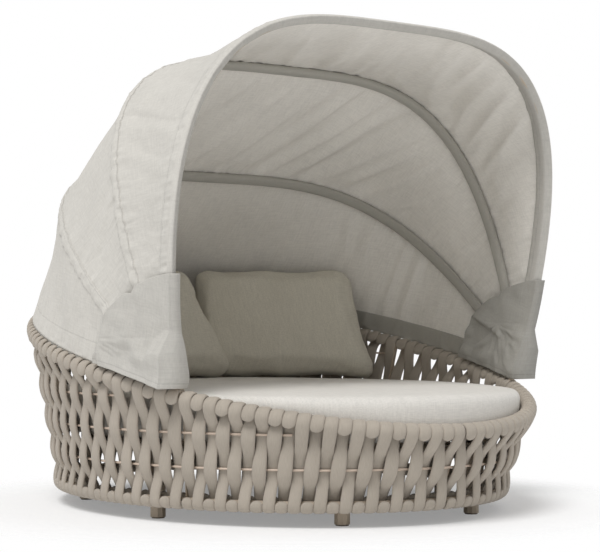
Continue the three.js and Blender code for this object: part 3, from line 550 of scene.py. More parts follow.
def strap_path(sizes, where, first_side, rim_low):
    """A strap's middle line from one end to the other: out of the wall, along which point of it, and how wide.
    Each row is (height on the wall, out, up, width share, thickness share)."""
    half = sizes.strap_thickness / 2
    wrap = sizes.tube_radius + half + 0.001
    passing = sizes.wire_radius + half + 0.0015
    levels = [k for k in range(sizes.wire_levels) if rim_low - wire_height(sizes, k) > sizes.wire_end_drop]
    rim = rim_height(sizes, where)
    stops = [(sizes.ring_height, -first_side * wrap)]
    stops += [(wire_height(sizes, k), first_side * passing * (1 if k % 2 == 0 else -1)) for k in levels]
    last_side = first_side if len(levels) % 2 == 1 else -first_side
    stops.append((rim, -last_side * wrap))

    def end(height, side, up, outward):
        rows = []
        for share_of in (1.0, 0.82, 0.55, 0.25):
            rounding = math.sqrt(max(0.0, 1 - (share_of * 0.985) ** 2))
            run = sizes.stub - sizes.stub_round + share_of * sizes.stub_round
            rows.append((height, side * wrap, -up * run, sizes.wrapped * rounding, 0.35 + 0.65 * rounding))
        rows.append((height, side * wrap, -up * (sizes.stub - sizes.stub_round) * 0.5, sizes.wrapped, 1))
        for step in range(9):
            around = math.pi * step / 8
            spot = (side * wrap * math.cos(around), up * wrap * math.sin(around))
            rows.append((height, *spot, sizes.wrapped, 1))
        return rows if outward else rows[::-1]

    path = end(sizes.ring_height, first_side, -1, True)
    for (z0, out0), (z1, out1) in zip(stops, stops[1:]):
        steps = max(5, round((z1 - z0) / 0.0105))
        for step in range(1, steps):
            t = step / steps
            ease = (1 - math.cos(math.pi * t)) / 2
            bulge = abs(math.cos(math.pi * t)) ** 1.3
            ends_on_tube = (z0 == sizes.ring_height and t < 0.5) or (z1 == rim and t > 0.5)
            widest = sizes.wrapped if ends_on_tube else sizes.bulge
            width = sizes.waist + (widest - sizes.waist) * bulge
            path.append((z0 + (z1 - z0) * t, out0 + (out1 - out0) * ease, 0, width, 1))
    return path + end(rim, last_side, 1, False)


def strap_points(sizes, where, pitch, path):
    """Rings of points round a strap's path, with the distance along and round it."""
    out, up, along = wall_axes(sizes, where)
    centres = [wall_point(sizes, where, z) + out * o + up * u for z, o, u, _, _ in path]
    points, travelled, run = [], [], 0.0
    for i, centre in enumerate(centres):
        before = centres[max(0, i - 1)]
        after = centres[min(len(centres) - 1, i + 1)]
        if i:
            run += (centre - before).length
        face = (after - before).normalized().cross(along).normalized()
        local = pitch * wall_scale(sizes, centre.z)
        width = path[i][3] * local * STRAP_HALF_SHARE
        depth = path[i][4] * sizes.strap_thickness / 2
        for j in range(STRAP_SIDES):
            a = TURN * j / STRAP_SIDES
            w = math.copysign(abs(math.cos(a)) ** STRAP_SQUARE_ACROSS, math.cos(a)) * width
            t = math.copysign(abs(math.sin(a)) ** STRAP_SQUARE_THROUGH, math.sin(a)) * depth
            points.append(centre + along * w + face * t)
        travelled.append(run)
    return points, travelled


def weave_sector(sizes, start, end, material, name):
    """All the straps between two uprights, as one piece."""
    pitch = sizes.strap_width + sizes.strap_spacing
    _, run = wall_lengths(sizes, start, end)
    count = 2 * math.floor((run[-1] - sizes.station_gap) / (2 * pitch))
    margin = sizes.station_gap / 2 + pitch / 2
    angles = even_angles(sizes, start, end, count - 1, margin)
    local_pitch = (run[-1] - 2 * margin) / (count - 1)
    sides = STRAP_SIDES
    points, faces, across, down = [], [], [], []
    for i, where in enumerate(angles):
        pair = angles[i - i % 2:i - i % 2 + 2]
        rim_low = min(rim_height(sizes, a) for a in pair)
        path = strap_path(sizes, where, 1 if i % 2 == 0 else -1, rim_low)
        made, travelled = strap_points(sizes, where, local_pitch, path)
        first = len(points)
        points += made
        rings = len(travelled)
        for r in range(rings - 1):
            for j in range(sides):
                a = first + r * sides + j
                b = first + r * sides + (j + 1) % sides
                faces.append((a, b, b + sides, a + sides))
        faces.append(tuple(first + j for j in range(sides))[::-1])
        faces.append(tuple(first + (rings - 1) * sides + j for j in range(sides)))
        for r in range(rings):
            for j in range(sides):
                across.append(sizes.strap_width * math.cos(TURN * j / sides) / 2 + i)
                down.append(travelled[r] + i * 0.37)
    piece = piece_from(name, points, faces, material)
    sheet_uv(piece, across, down, "Along")
    settle(piece)
    return piece


class DAYBED_OT_straps(bpy.types.Operator):
    """Weaves the padded straps through the wires, one sector at a time"""

    bl_idname = "daybed.straps"
    bl_label = "Woven Straps"

    def execute(self, context):
        sizes = context.scene.daybed_weave
        canopy = context.scene.daybed_canopy
        material = strap_finish(context.scene.daybed_colours.strap)
        rear = even_angles(sizes, canopy.pivot_angle, TURN - canopy.pivot_angle, 5)
        stations = [0.0, *rear, TURN]
        for i, (start, end) in enumerate(zip(stations, stations[1:]), start=1):
            piece = weave_sector(sizes, start, end, material, f"woven_straps_{i}")
            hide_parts(f"strap_wall_{i}")
            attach(piece, BASKET)
        return {"FINISHED"}


# Frame pieces keep their solids and get their finishes


def paint(names, material):
    for name in names:
        node = frame["nodes"][name]
        node.data.materials.clear()
        node.data.materials.append(material)
        only(node)
        bpy.ops.object.shade_smooth_by_angle(angle=math.radians(55))


class DAYBED_OT_frame(bpy.types.Operator):
    """Gives the tubes, wires, deck, legs, glides and bolts their finishes"""

    bl_idname = "daybed.frame"
    bl_label = "Frame Finishes"

    def execute(self, context):
        colours = context.scene.daybed_colours
        slots = {row["node"]: row["material_slot"] for row in frame["record"]["subparts"]}
        finishes = {
            "wire": coated_finish("wire_coat", colours.wire, 0.45),
            "frame": coated_finish("tube_coat", colours.tube),
            "glide": plastic_finish(colours.glide),
            "bolt": steel_finish(colours.steel),
        }
        for slot, material in finishes.items():
            paint([node for node, own in slots.items() if own == slot], material)
        return {"FINISHED"}


# Cushions

# Each pillow's middle in the wall's own coordinates, its turn and lean, how far its top slumps to one side and how
# far that side runs on.
PILLOW_PLACES = {
    "back_pillow_right": {
        "x": 0.413, "y": 0.508, "turn": math.radians(-37), "lean": math.radians(18), "slump": 0.055,
        "spread": 0.044},
    "back_pillow_middle": {
        "x": -0.174, "y": 0.588, "turn": math.radians(14), "lean": math.radians(24), "slump": 0.045,
        "spread": 0.0},
}
# What the seams take off a pillow before it swells.
PILLOW_SEAM_ACROSS, PILLOW_SEAM_UP = 0.030, 0.025
SWELL_FRAMES = 20


def swell(piece, voxel, cap):
    """Puffs a closed cushion up with cloth under pressure, and keeps each point within a cap."""
    apply_modifier(piece, "REMESH", mode="VOXEL", voxel_size=voxel, use_smooth_shade=True)
    before = read_points(piece)
    only(piece)
    cloth = piece.modifiers.new("cloth", "CLOTH")
    cloth.settings.use_pressure = True
    cloth.settings.uniform_pressure_force = 4
    cloth.settings.effector_weights.gravity = 0
    cloth.settings.quality = 4
    cloth.collision_settings.use_collision = False
    cloth.point_cache.frame_start = 1
    cloth.point_cache.frame_end = SWELL_FRAMES
    for step in range(1, SWELL_FRAMES + 1):
        bpy.context.scene.frame_set(step)
    bpy.ops.object.modifier_apply(modifier=cloth.name)
    bpy.context.scene.frame_set(1)
    move = read_points(piece) - before
    far = np.linalg.norm(move, axis=1, keepdims=True)
    write_points(piece, before + move * np.minimum(1, cap / np.maximum(far, 1e-9)))


def fit(piece, low, high):
    """Stretches a piece a little, so that it fills a box."""
    points = read_points(piece)
    least, most = points.min(axis=0), points.max(axis=0)
    share_of = (np.array(high) - np.array(low)) / (most - least)
    write_points(piece, np.array(low) + (points - least) * share_of)


def relax(piece, rounds, factor=0.5):
    apply_modifier(piece, "SMOOTH", factor=factor, iterations=rounds)


def read_points(piece, kind="co"):
    """A mesh's points, or the ways they face, as rows of three numbers."""
    vertices = piece.data.vertices
    values = np.empty(len(vertices) * 3, np.float32)
    vertices.foreach_get(kind, values)
    return values.reshape(-1, 3).astype(float)


def write_points(piece, points):
    piece.data.vertices.foreach_set("co", np.asarray(points, np.float32).ravel())
    piece.data.update()


def still_noise(points, cell, seed, stretch=(1, 1, 1)):
    """Smooth noise between about -1 and 1 at each point, with cells of a size in metres."""
    places = np.asarray(points) / cell * np.asarray(stretch) + seed * np.array([1.0, 1.7, 2.3])
    return np.array([noise.noise(Vector(place)) for place in places])


def ruffle(piece, amount, cell, seed=1):
    """Small uneven swells over a soft surface."""
    points = read_points(piece)
    lift = still_noise(points, cell, seed) + 0.5 * still_noise(points, 0.45 * cell, seed + 6)
    write_points(piece, points + read_points(piece, "normal") * (amount * lift)[:, None])


CROWN_STEPS = (0.004, 0.002)


class DAYBED_OT_seat(bpy.types.Operator):
    """Makes the oval seat cushion, rounded at its edge and crowned on top"""

    bl_idname = "daybed.seat"
    bl_label = "Seat Cushion"

    def execute(self, context):
        sizes = context.scene.daybed_cushions
        low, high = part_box("seat_cushion")
        margin = sizes.seat_margin
        centre = (low + high) / 2
        half = (high - low) / 2
        radius = half.x - margin
        deselect()
        bpy.ops.mesh.primitive_circle_add(
            vertices=128, radius=radius, fill_type="NGON", location=(centre.x, centre.y, low.z + margin / 3))
        seat = context.object
        seat.name = "seat_pad"
        bpy.ops.object.mode_set(mode="EDIT")
        bpy.ops.transform.resize(value=(1, (half.y - margin) / radius, 1))
        bpy.ops.mesh.select_all(action="SELECT")
        shallow = 2 * half.z - 2 * margin
        bpy.ops.transform.resize(value=(sizes.seat_draw, sizes.seat_draw, 1))
        bpy.ops.mesh.extrude_region_move(TRANSFORM_OT_translate={"value": (0, 0, shallow - sum(CROWN_STEPS))})
        bpy.ops.transform.resize(value=(1 / sizes.seat_draw, 1 / sizes.seat_draw, 1))
        for rise in CROWN_STEPS:
            bpy.ops.mesh.inset(thickness=radius * 0.35)
            bpy.ops.transform.translate(value=(0, 0, rise))
        bpy.ops.object.mode_set(mode="OBJECT")
        self.round_edges(seat, low.z + margin, sizes)
        bpy.ops.object.transform_apply(location=True, rotation=True, scale=True)
        apply_modifier(seat, "TRIANGULATE")
        swell(seat, sizes.seat_voxel, sizes.seat_swell)
        relax(seat, 4)
        ruffle(seat, 0.0020, 0.20)
        proud = Vector((sizes.seat_proud, sizes.seat_proud, 0))
        fit(seat, low - proud, high + proud)
        seat.data.materials.append(cloth_finish(
            "seat_weave", context.scene.daybed_colours.seat, slub=0.045, yarn=0.0036, contrast=0.20))
        only(seat)
        seat.data.shade_smooth()
        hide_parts("seat_cushion")
        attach(seat, BASKET)
        return {"FINISHED"}

    @staticmethod
    def round_edges(seat, split, sizes):
        """Bevels the cushion's rims, the top one wider."""
        only(seat)
        for top, width in ((True, sizes.seat_edge), (False, sizes.seat_edge / 2)):
            bpy.ops.object.mode_set(mode="EDIT")
            bpy.ops.mesh.select_all(action="DESELECT")
            bpy.ops.object.mode_set(mode="OBJECT")
            mesh = seat.data
            wall_sides = {key for p in mesh.polygons if abs(p.normal.z) < 0.5 for key in p.edge_keys}
            for edge in mesh.edges:
                ends = [mesh.vertices[i].co for i in edge.vertices]
                flat = abs(ends[0].z - ends[1].z) < 1e-5
                is_top = ends[0].z + seat.location.z > split + 0.02
                edge.select = flat and edge.key in wall_sides and is_top == top
            bpy.ops.object.mode_set(mode="EDIT")
            bpy.ops.mesh.select_mode(type="EDGE")
            bpy.ops.mesh.bevel(offset=width, segments=6, affect="EDGES")
            bpy.ops.object.mode_set(mode="OBJECT")


class DAYBED_OT_pillows(bpy.types.Operator):
    """Makes the two back pillows, boxy with soft corners, and leans them on the seat"""

    bl_idname = "daybed.pillows"
    bl_label = "Back Pillows"

    def execute(self, context):
        sizes = context.scene.daybed_cushions
        shade = context.scene.daybed_colours.pillow
        for node, place in PILLOW_PLACES.items():
            low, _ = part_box(node)
            deselect()
            bpy.ops.mesh.primitive_cube_add(size=1)
            pillow = context.object
            pillow.name = node.replace("back_pillow", "pillow")
            across, up = sizes.pillow_width - PILLOW_SEAM_ACROSS, sizes.pillow_height - PILLOW_SEAM_UP
            bpy.ops.transform.resize(value=(across, sizes.pillow_depth, up))
            bpy.ops.object.transform_apply(location=True, rotation=True, scale=True)
            self.taper(pillow, sizes, place["slump"])
            bpy.ops.object.mode_set(mode="EDIT")
            bpy.ops.mesh.select_all(action="SELECT")
            bpy.ops.mesh.bevel(offset=sizes.pillow_edge, segments=5, affect="EDGES")
            bpy.ops.object.mode_set(mode="OBJECT")
            swell(pillow, sizes.pillow_voxel, sizes.pillow_swell)
            relax(pillow, 6)
            half = Vector((sizes.pillow_width, sizes.pillow_bulk, sizes.pillow_height)) / 2
            fit(pillow, -half - Vector((place["spread"], 0, 0)), half + Vector((0.3 * place["slump"], 0, 0)))
            self.pucker(pillow, sizes, node)
            turn = Matrix.Rotation(place["turn"], 4, "Z") @ Matrix.Rotation(-place["lean"], 4, "X")
            pillow.data.transform(turn)
            pillow.data.update()
            lowest = min(v.co.z for v in pillow.data.vertices)
            shift = origin_shift()
            spot = (place["x"] + shift.x, place["y"] + shift.y, low.z - lowest)
            pillow.data.transform(Matrix.Translation(spot))
            turned = tuple(turn.inverted().to_euler())
            pillow.data.materials.append(cloth_finish(
                f"{node}_weave", shade, slub=0.050, yarn=0.0034, contrast=0.24, turn=turned))
            only(pillow)
            pillow.data.shade_smooth()
            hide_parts(node)
            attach(pillow, BASKET)
        return {"FINISHED"}

    @staticmethod
    def taper(pillow, sizes, slump):
        """Draws the top in and lets it slump to one side."""
        for vertex in pillow.data.vertices:
            up = vertex.co.z / (sizes.pillow_height / 2)
            vertex.co.x *= 1 - (1 - sizes.pillow_top) * (up + 1) / 2
            vertex.co.x -= slump * up * (0.5 if vertex.co.x > 0 else 0.2)

    @staticmethod
    def pucker(pillow, sizes, name):
        """Small pulls in the cloth beside the seams and at the corners."""
        seed = len(name)
        points = read_points(pillow)
        x = np.abs(points[:, 0]) / (sizes.pillow_width / 2)
        z = np.abs(points[:, 2]) / (sizes.pillow_height / 2)
        edge = np.maximum(x, z) ** 6
        soft = still_noise(points, 0.12, seed) * 0.009
        fine = still_noise(points, 0.026, seed + 4) * 0.0025 * edge
        write_points(pillow, points + read_points(pillow, "normal") * (soft + fine)[:, None])


# Bows and the cloth over them


def bow_line(sizes, nest, count):
    """Even places along a bow in its own plane, and the way along it there."""
    half = sizes.pivot_half + sizes.side_bulge + sizes.crown_share * nest
    top = sizes.height - sizes.crown_share * nest
    start = math.atan2(sizes.lug_length, sizes.pivot_half + nest)
    angles = np.linspace(start, math.pi - start, 4001)
    power = sizes.squareness
    spread = (np.abs(np.cos(angles)) / half) ** power + (np.sin(angles) / top) ** power
    reach = spread ** (-1 / power)
    y = reach * np.sin(angles)
    draw = (half - sizes.pivot_half - nest) * np.maximum(0, 1 - y / sizes.bulge_reach) ** 2
    x = reach * np.cos(angles) - np.sign(np.cos(angles)) * draw
    run = np.concatenate([[0], np.cumsum(np.hypot(np.diff(x), np.diff(y)))])
    even = np.linspace(0, run[-1], count)
    places = np.stack([np.interp(even, run, x), np.interp(even, run, y)], axis=1)
    ways = np.gradient(places, axis=0)
    ways /= np.linalg.norm(ways, axis=1, keepdims=True)
    return places, ways


def bow_half_at(sizes, nest, distance):
    """How far out a bow's leg stands at a distance from the pivot line."""
    half = sizes.pivot_half + sizes.side_bulge + sizes.crown_share * nest
    top = sizes.height - sizes.crown_share * nest
    angle = math.atan2(distance, sizes.pivot_half + nest)
    power = sizes.squareness
    spread = (math.cos(angle) / half) ** power + (math.sin(angle) / top) ** power
    reach = spread ** (-1 / power)
    draw = (half - sizes.pivot_half - nest) * max(0.0, 1 - reach * math.sin(angle) / sizes.bulge_reach) ** 2
    return reach * math.cos(angle) - draw


def lean_axes(lean):
    """The ways up and ahead in a bow's plane that leans forward by an angle."""
    up = np.array([0, -math.sin(lean), math.cos(lean)])
    ahead = np.array([0, -math.cos(lean), -math.sin(lean)])
    return up, ahead


class Bow:
    """A bow's places in the daybed: middles, ways out of the arch, and the way ahead."""

    def __init__(self, sizes, hub, nest, lean, count):
        places, ways = bow_line(sizes, nest, count)
        up, self.ahead = lean_axes(lean)
        side = np.array([1.0, 0, 0])
        self.reach = places[:, 1]
        self.centre = np.array(hub) + places[:, :1] * side + places[:, 1:] * up
        self.out = ways[:, 1:] * side - ways[:, :1] * up

    def edge(self, lift, back=0.0):
        """A line of cloth laid over the bow, turned back by an angle near the pivots."""
        angles = back * np.maximum(0, 1 - self.reach / self.reach.max())[:, None] ** 2
        return self.centre + self.out * lift * np.cos(angles) - self.ahead * lift * np.sin(angles)


def pivot_hub(canopy, weave):
    """The middle of the pivot line, in the wall's own coordinates."""
    spot = wall_point(weave, canopy.pivot_angle, rim_height(weave, canopy.pivot_angle))
    return np.array([0, spot.y, spot.z + canopy.pivot_rise])


def bows_of(sizes, weave, count):
    step = sizes.nest_step
    hub = pivot_hub(sizes, weave)
    return (
        Bow(sizes, hub, 0, sizes.front_lean, count),
        Bow(sizes, hub, step, sizes.middle_lean, count),
        Bow(sizes, hub, 2 * step, sizes.rear_lean, count),
    )


def cloth_steps(count, length_of, edge):
    """Shares from 0 to 1 with closer rows beside the two seams."""
    fine = np.linspace(0, edge / length_of, 7)
    return np.concatenate([fine[:-1], np.linspace(fine[-1], 1 - fine[-1], count), (1 - fine[::-1])[1:]])


def along_line(line):
    """The distance along a line of points."""
    return np.concatenate([[0], np.cumsum(np.linalg.norm(np.diff(line, axis=0), axis=1))])


class Spread:
    """Cloth between two lines: sunk in between, in soft folds, and gathered at its two seams."""

    def __init__(self, back, front, count, inward, sizes, seed, sag=None, skew=0.0, slack=0.9):
        self.gap = np.linalg.norm(front - back, axis=1)
        self.steps = cloth_steps(count, float(self.gap.max()), sizes.pull_reach)
        hold = np.minimum(1, self.gap / 0.5)
        depth = sizes.sag if sag is None else sag
        run, flat = along_line(front), np.zeros(len(front))
        slack = 1 + slack * np.clip(front[:, 0] / 0.5, 0, 1)
        self.rows = []
        for t in self.steps:
            row = back + (front - back) * t
            free = 4 * t * (1 - t)
            away, near = t * self.gap, min(t, 1 - t) * self.gap
            places = np.stack([run + skew * away, 0.16 * away, flat], axis=1)
            ridges = 0.55 - 1.8 * np.abs(still_noise(places, 0.11, seed))
            ridges = ridges + 0.5 * still_noise(places, 0.045, seed + 3)
            soft = still_noise(row, 0.24, seed + 5, (1, 1, 0.6))
            line = np.stack([run, 0.2 * near + (t > 0.5), flat], axis=1)
            gathers = still_noise(line, 0.026, seed + 9) + 0.6 * still_noise(line, 0.012, seed + 2)
            held = np.exp(-near / sizes.pull_reach) * np.minimum(1, near / 0.010)
            grip = np.clip((near - 0.018) / 0.09, 0, 1)
            sunk = depth * hold * free + sizes.crease * slack * (0.6 * soft + ridges) * grip * hold
            self.rows.append(row + inward * (sunk + sizes.pucker * gathers * held)[:, None])

    def at(self, distance, from_front=False):
        """Points on the cloth at a distance from its rear line, or from its front line."""
        grid = np.array(self.rows)
        part = np.minimum(distance / self.gap, 0.5)
        spot = np.interp(1 - part if from_front else part, self.steps, np.arange(len(self.steps)))
        low = np.minimum(spot.astype(int), len(self.steps) - 2)
        part = (spot - low)[:, None]
        columns = np.arange(grid.shape[1])
        return grid[low, columns] * (1 - part) + grid[low + 1, columns] * part


def sheet_piece(name, rows, material, thickness, second=None):
    """A piece of cloth from rows of points, given its thickness. Its map holds metres across and down it.
    A second material and a column say which part of each row takes another finish."""
    grid = np.array(rows)
    height, width = grid.shape[:2]
    across = np.broadcast_to(along_line(grid[height // 2]), (height, width))
    down = np.stack([along_line(grid[:, column]) for column in range(width)], axis=1)
    piece = piece_from(name, grid.reshape(-1, 3), grid_faces(height, width), material)
    if second:
        piece.data.materials.append(second[0])
        for place, face in enumerate(piece.data.polygons):
            face.material_index = 1 if place % (width - 1) > second[1] else 0
    sheet_uv(piece, across.ravel(), down.ravel())
    sheet_uv(piece, down.ravel(), (down[-1] - down).ravel(), "Seams")
    apply_modifier(piece, "SOLIDIFY", thickness=thickness, offset=0)
    piece.data.shade_smooth()
    settle(piece)
    return piece


def line_inside(piece, material):
    """Gives the faces that look in at the seat a material of their own."""
    piece.data.materials.append(material)
    for face in piece.data.polygons:
        face.material_index = 1 if face.normal.dot(face.center - HUB) < 0 else 0


def fold_between(piece):
    """Bakes the piece's place into its mesh. The piece is left on no body, so it does not follow the bows."""
    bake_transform(piece)


def rear_foot(count, sizes, weave):
    """Places along the wrapped rim where the canopy's rear edge lies, and the way in from there."""
    lift = weave.tube_radius + weave.strap_thickness + 0.006
    clear = 0.045 / weave.half_depth
    angles = even_angles(weave, sizes.pivot_angle + clear, TURN - sizes.pivot_angle - clear, count - 1)
    foot, inward = [], []
    for where in angles:
        out, up, _ = wall_axes(weave, where)
        foot.append(wall_point(weave, where, rim_height(weave, where)) + up * lift)
        inward.append(-out)
    return [np.array([tuple(p) for p in line]) for line in (foot, inward)]


def canopy_cloths(sizes, weave, count=561):
    """The bows, and the cloth behind, between and in front of them."""
    front, middle, rear = bows_of(sizes, weave, count)
    lines = [bow.edge(sizes.lift) for bow in (rear, middle, front)]
    foot, inward = rear_foot(count, sizes, weave)
    turned = rear.edge(sizes.lift, math.radians(50))
    cloths = {
        "rear": Spread(foot, turned, 36, inward, sizes, 23, sag=0.010, slack=0.4),
        "middle": Spread(lines[0], lines[1], 26, -middle.out, sizes, 3, skew=0.5),
        "front": Spread(lines[1], lines[2], 26, -front.out, sizes, 11, skew=-0.4),
    }
    return {"front": front, "middle": middle, "rear": rear}, cloths, inward


# The hem's rows of stitches and the cloth that its nose takes up, from its first edge, and the nose's outline as
# shares ahead of the bow and out from it.
HEM_STITCHES = (0.005, 0.118)
HEM_NOSE_WRAP = 0.020
HEM_NOSE_SHARES = (
    (0.35, 0.99), (0.68, 0.93), (0.90, 0.82), (1.0, 0.68), (1.0, 0.50), (0.90, 0.22), (0.72, -0.16), (0.50, -0.55),
    (0.30, -0.84), (0.12, -0.99))


class DAYBED_OT_canopy(bpy.types.Operator):
    """Stretches the canopy over its bows in three panels with a deep hem round the front bow"""

    bl_idname = "daybed.canopy"
    bl_label = "Canopy Cloth"

    def execute(self, context):
        sizes = context.scene.daybed_canopy
        weave = context.scene.daybed_weave
        colours = context.scene.daybed_colours
        plain = canopy_finish("canopy_weave", colours.canopy)
        footed = canopy_finish("rear_weave", colours.canopy, (sizes.band_depth,))
        # The faces that look in at the seat take a brighter copy of the cloth: painted light for the light that
        # shines through it.
        inside = canopy_finish("canopy_inside_painted_light", colours.inside)
        bows, cloths, _ = canopy_cloths(sizes, weave)
        rear, middle, front = sizes.rear_lean, sizes.middle_lean, sizes.front_lean
        for part, finish, rests_on, bodies, leans in (
                ("middle", plain, ["middle_bow", "rear_bow"], (BASKET, MIDDLE_GROUP), (rear, middle)),
                ("front", plain, ["front_bow", "middle_bow"], (MIDDLE_GROUP, FRONT_GROUP), (middle, front)),
                ("rear", footed, ["rear_bow"], (BASKET,), None)):
            rows = cloths[part].rows
            piece = sheet_piece(f"canopy_cloth_{part}", rows, finish, sizes.thickness)
            line_inside(piece, inside)
            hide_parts(f"canopy_{part}_panel")
            if leans:
                fold_between(piece)
            else:
                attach(piece, *bodies)
        rows = self.hem_rows(bows["front"], cloths["front"], sizes)
        # Inside the hem, past its depth and the cloth its nose takes up, the band is painted darker: painted shade
        # where the doubled cloth lets less light through.
        hemmed = canopy_finish("hem_weave", colours.canopy, HEM_STITCHES, sizes.hem_depth + HEM_NOSE_WRAP)
        hem = sheet_piece("canopy_hem", rows, hemmed, sizes.thickness)
        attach(hem, FRONT_GROUP)
        return {"FINISHED"}

    @staticmethod
    def hem_rows(front, cloth, sizes):
        """A doubled hem: from behind the front bow, over it to a slim edge ahead, and in to a stitched edge."""
        lift = sizes.lift + sizes.thickness + 0.0004
        low = sizes.tube_radius + sizes.thickness + 0.0010
        depth = np.minimum(sizes.hem_depth, 0.33 * cloth.gap)
        run, flat = along_line(front.centre), np.zeros(len(front.centre))
        rows = [cloth.at(depth * t, True) + front.out * (sizes.thickness + 0.0004) for t in np.linspace(1, 0, 12)]
        for ahead, out in HEM_NOSE_SHARES:
            offset = out * (lift if out > 0 else low)
            rows.append(front.centre + front.out * offset + front.ahead * sizes.nose * ahead)
        for t in np.linspace(0, 1, 12)[1:]:
            waves = 0.0032 * t * still_noise(np.stack([run, flat + 0.3 * t, flat], axis=1), 0.026, 51)[:, None]
            rise = (sizes.lift - 0.0050) * t ** 2
            rows.append(front.centre - front.out * (low - rise + waves) - front.ahead * depth[:, None] * t)
        return rows


LINING_THICKNESS = 0.0012
WELT_THICKNESS = 0.0010
WELT_SHARES = (-1.0, -0.9, -0.8, -0.6, -0.3, 0.0, 0.3, 0.6, 0.8, 0.9, 1.0)
WELT_STITCHED_SHARE = 0.9


class DAYBED_OT_sleeves(bpy.types.Operator):
    """Sews a dark sleeve round each inner bow, welts over the seams and a band along the foot"""

    bl_idname = "daybed.sleeves"
    bl_label = "Bow Sleeves"

    def execute(self, context):
        sizes = context.scene.daybed_canopy
        weave = context.scene.daybed_weave
        colours = context.scene.daybed_colours
        dark = cloth_finish("sleeve_weave", colours.sleeve, slub=0.018, yarn=0.0022, contrast=0.14, uv="Cloth")
        stitched = (0.1 * sizes.welt_half, 1.9 * sizes.welt_half)
        light = canopy_finish("welt_weave", colours.canopy, stitched)
        bows, cloths, inward = canopy_cloths(sizes, weave)
        for name, body, behind, ahead in (
                ("middle", MIDDLE_GROUP, "middle", "front"), ("rear", BASKET, "rear", "middle")):
            bow, rests_on = bows[name], [f"{name}_bow"]
            rows = self.sleeve_rows(bow, sizes)
            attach(sheet_piece(f"bow_sleeve_{name}", rows, dark, LINING_THICKNESS), body)
            rows = self.welt_rows(bow, cloths[behind], cloths[ahead], sizes)
            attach(sheet_piece(f"seam_welt_{name}", rows, light, WELT_THICKNESS), body)
        self.foot_band(cloths["rear"], inward, sizes, dark)
        return {"FINISHED"}

    @staticmethod
    def sleeve_rows(bow, sizes):
        """A flattened tube of cloth round a bow, open at its two ends."""
        rows = []
        for j in range(25):
            a = TURN * j / 24 + math.pi / 2
            waves = 0.0010 * still_noise(bow.centre, 0.05, 60 + j)[:, None]
            out = (0.0135 * math.sin(a) - 0.0045) * np.ones_like(waves) + waves * (math.sin(a) < 0.5)
            ahead = sizes.sleeve_half * math.copysign(abs(math.cos(a)) ** 0.7, math.cos(a))
            rows.append(bow.centre + bow.out * out + bow.ahead * ahead)
        return rows

    @staticmethod
    def welt_rows(bow, behind, ahead, sizes):
        """The cloth outside a bow between its two rows of stitches, just over both panels."""
        run, flat = along_line(bow.centre), np.zeros(len(bow.centre))
        rows = []
        for share_of in WELT_SHARES:
            cloth = ahead if share_of > 0 else behind
            step = np.minimum(sizes.welt_half, 0.40 * cloth.gap) * abs(share_of)
            on_cloth = cloth.at(step, from_front=share_of <= 0)
            line = np.stack([run, flat + 0.012 * share_of, flat], axis=1)
            ease = np.minimum(1, bow.reach / 0.45)[:, None]
            gathers = 0.0026 * (1 - share_of ** 2) * ease * still_noise(line, 0.020, 71)[:, None]
            sewn = 0.0008 * (abs(share_of) == WELT_STITCHED_SHARE)
            rows.append(on_cloth + bow.out * (0.5 * sizes.thickness + 0.0012 + gathers - sewn))
        return rows

    @staticmethod
    def foot_band(cloth, inward, sizes, dark):
        """A dark band inside the foot of the rear panel."""
        depth = np.minimum(sizes.band_depth, 0.5 * cloth.gap)
        first, second = cloth.at(0 * depth), cloth.at(0.1 * depth)
        clear = inward * 0.0028
        rows = [first - (second - first) * 1.2 + clear]
        for t in np.linspace(0, 1, 14):
            rows.append(cloth.at(depth * t) + clear)
        band = sheet_piece("foot_band", rows, dark, LINING_THICKNESS)
        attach(band, BASKET)


def drawn_folds(row, focus, seed):
    """Folds that spread out from a place where the cloth is drawn together."""
    arm = row[:, 1:] - np.array(focus)
    distance = np.linalg.norm(arm, axis=1)
    angles = np.arctan2(arm[:, 1], arm[:, 0])
    polar = np.stack([angles, distance / 0.30, np.zeros(len(row))], axis=1)
    folds = 1.1 * still_noise(polar, 0.36, seed) + 0.5 * still_noise(polar, 0.17, seed + 3)
    return folds * np.minimum(1, distance / 0.05) * np.clip(0.2 - arm[:, 1] / 0.06, 0, 1)


def lap_over(row, start, end):
    """A flap that lies over the cloth beside it, along a line."""
    way = np.array(end) - np.array(start)
    length_of = np.linalg.norm(way)
    way = way / length_of
    arm = row[:, 1:] - np.array(start)
    along_it = arm @ way
    beside = arm @ np.array([-way[1], way[0]])
    beside = beside if way[0] > 0 else -beside
    step_up = 1 / (1 + np.exp(-beside / 0.003)) - 0.5
    near_line = np.exp(-np.abs(beside) / 0.05)
    ends = np.clip(1.25 - along_it / length_of, 0, 1)
    return 1.7 * step_up * near_line * ends


# Points along and up one wall of a boot, and its row of stitches.
BOOT_COLUMNS, BOOT_LEVELS = 64, 76
BOOT_STITCHES = (0.016,)
# How far up the bows a boot goes, where its foot ends round the wall, how far that stands ahead of the pivot line,
# and how far its inner wall stands inside the front bow, with what is added at the pivot.
BOOT_REACH = 0.330
BOOT_FOOT = math.radians(86)
BOOT_AHEAD = 0.016
BOOT_INSET, BOOT_PIVOT_INSET = 0.0200, 0.0245


